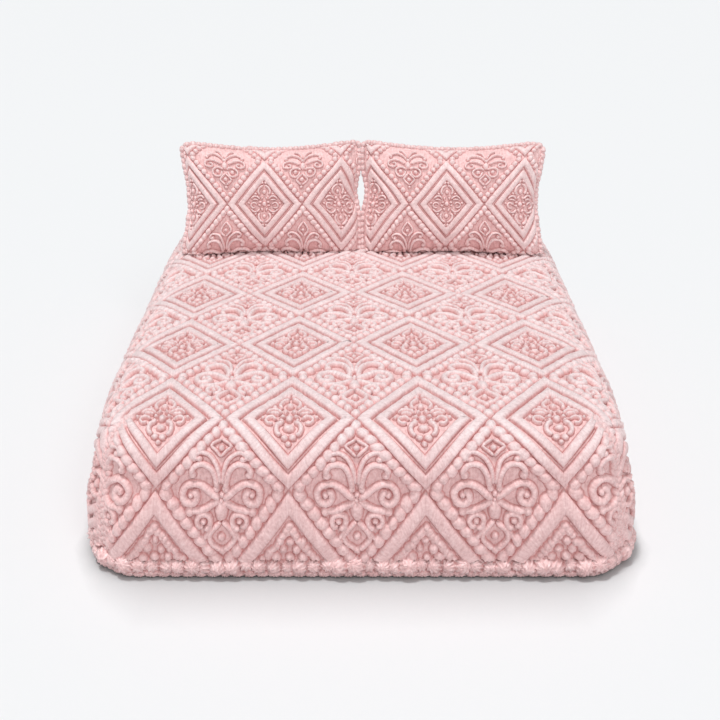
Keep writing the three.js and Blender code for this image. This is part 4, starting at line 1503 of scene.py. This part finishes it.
class BEDDING_OT_studio(bpy.types.Operator):
    """Sets up the floor, the soft light and the camera."""

    bl_idname = "bedding.studio"
    bl_label = "Studio"

    def execute(self, context):
        context.scene.view_settings.view_transform = "Standard"
        self.lay_floor(context.scene)
        self.light(context.scene)
        self.place_camera(context.scene)
        return {"FINISHED"}

    def lay_floor(self, scene):
        mesh = bpy.data.meshes.new("floor")
        corners = [(x * FLOOR_HALF, y * FLOOR_HALF, 0) for x, y in ((-1, -1), (1, -1), (1, 1), (-1, 1))]
        mesh.from_pydata(corners, [], [(0, 1, 2, 3)])
        floor = bpy.data.objects.new("floor", mesh)
        scene.collection.objects.link(floor)
        tree, shader = plain_material("studio_floor")
        place = object_axes(tree)
        in_front = span_share(tree, place["Y"], *SHADE["y"])
        beside = span_share(tree, math_node(tree, "ABSOLUTE", place["X"]), *SHADE["x"])
        in_front = math_node(tree, "MULTIPLY", in_front, beside)
        reach = math_node(tree, "MULTIPLY", in_front, SHADE["in_front"])
        reach = math_node(tree, "ADD", reach, SHADE["reach"])
        # Painted contact shadow: the floor's colour darkens where ambient occlusion finds the bed near.
        near = add_node(tree, "AmbientOcclusion", {"Distance": reach})
        near.samples = SHADE["samples"]
        pale = mix_colours(tree, near.outputs["AO"], FLOOR_PAINTED_SHADOW, FLOOR_PALE)
        set_inputs(tree, shader, {**FLOOR_SHADER, "Base Color": pale})
        floor.data.materials.append(bpy.data.materials["studio_floor"])

    def light(self, scene):
        world = bpy.data.worlds.new("studio")
        world.use_nodes = True
        background = world.node_tree.nodes["Background"]
        background.inputs["Color"].default_value = (1.0, 1.0, 1.0, 1)
        background.inputs["Strength"].default_value = WORLD_STRENGTH
        scene.world = world
        for light in STUDIO_LIGHTS:
            lamp = bpy.data.lights.new(light["name"], "SUN")
            lamp.energy = light["energy"]
            lamp.angle = math.radians(light["width"])
            lamp_object = bpy.data.objects.new(light["name"], lamp)
            lamp_object.rotation_euler = (math.radians(light["lean"]), math.radians(light["side"]), 0)
            scene.collection.objects.link(lamp_object)

    def place_camera(self, scene):
        studio = scene.bedding_studio
        camera = bpy.data.cameras.new("camera")
        camera.lens = studio.focal
        camera.clip_end = CAMERA_REACH
        camera_object = bpy.data.objects.new("camera", camera)
        camera_object.location = (CAMERA_X, -studio.distance, studio.height)
        camera_object.rotation_euler = (RIGHT_ANGLE - studio.pitch, 0, 0)
        scene.collection.objects.link(camera_object)
        scene.camera = camera_object


class BEDDING_PT_panel(bpy.types.Panel):
    """Lists the pieces of the set."""

    bl_label = "Fitted sheet set"
    bl_idname = "BEDDING_PT_panel"
    bl_space_type = "VIEW_3D"
    bl_region_type = "UI"
    bl_category = "Bedding"

    def draw(self, context):
        for group in ("bedding_plush", "bedding_sizes", "bedding_studio"):
            settings = getattr(context.scene, group)
            box = self.layout.box()
            for name in settings.__annotations__:
                box.prop(settings, name)
        for operator in OPERATORS:
            self.layout.operator(operator.bl_idname)


GROUPS = {
    "bedding_plush": BeddingPlush,
    "bedding_sizes": BeddingSizes,
    "bedding_studio": BeddingStudio,
}
OPERATORS = (
    BEDDING_OT_studio,
    BEDDING_OT_materials,
    BEDDING_OT_mattress,
    BEDDING_OT_sheet,
    BEDDING_OT_frames,
    BEDDING_OT_scrolls,
    BEDDING_OT_corners,
    BEDDING_OT_foot_band,
    BEDDING_OT_foot_edging,
    BEDDING_OT_pillows,
    BEDDING_OT_pillow_edging,
)


def register():
    for name, group in GROUPS.items():
        bpy.utils.register_class(group)
        setattr(bpy.types.Scene, name, bpy.props.PointerProperty(type=group))
    for operator in OPERATORS:
        bpy.utils.register_class(operator)
    bpy.utils.register_class(BEDDING_PT_panel)


def unregister():
    bpy.utils.unregister_class(BEDDING_PT_panel)
    for operator in reversed(OPERATORS):
        bpy.utils.unregister_class(operator)
    for name, group in reversed(GROUPS.items()):
        delattr(bpy.types.Scene, name)
        bpy.utils.unregister_class(group)


def main():
    register()
    for operator in OPERATORS:
        group, name = operator.bl_idname.split(".")
        getattr(getattr(bpy.ops, group), name)()


if __name__ == "__main__":
    main()
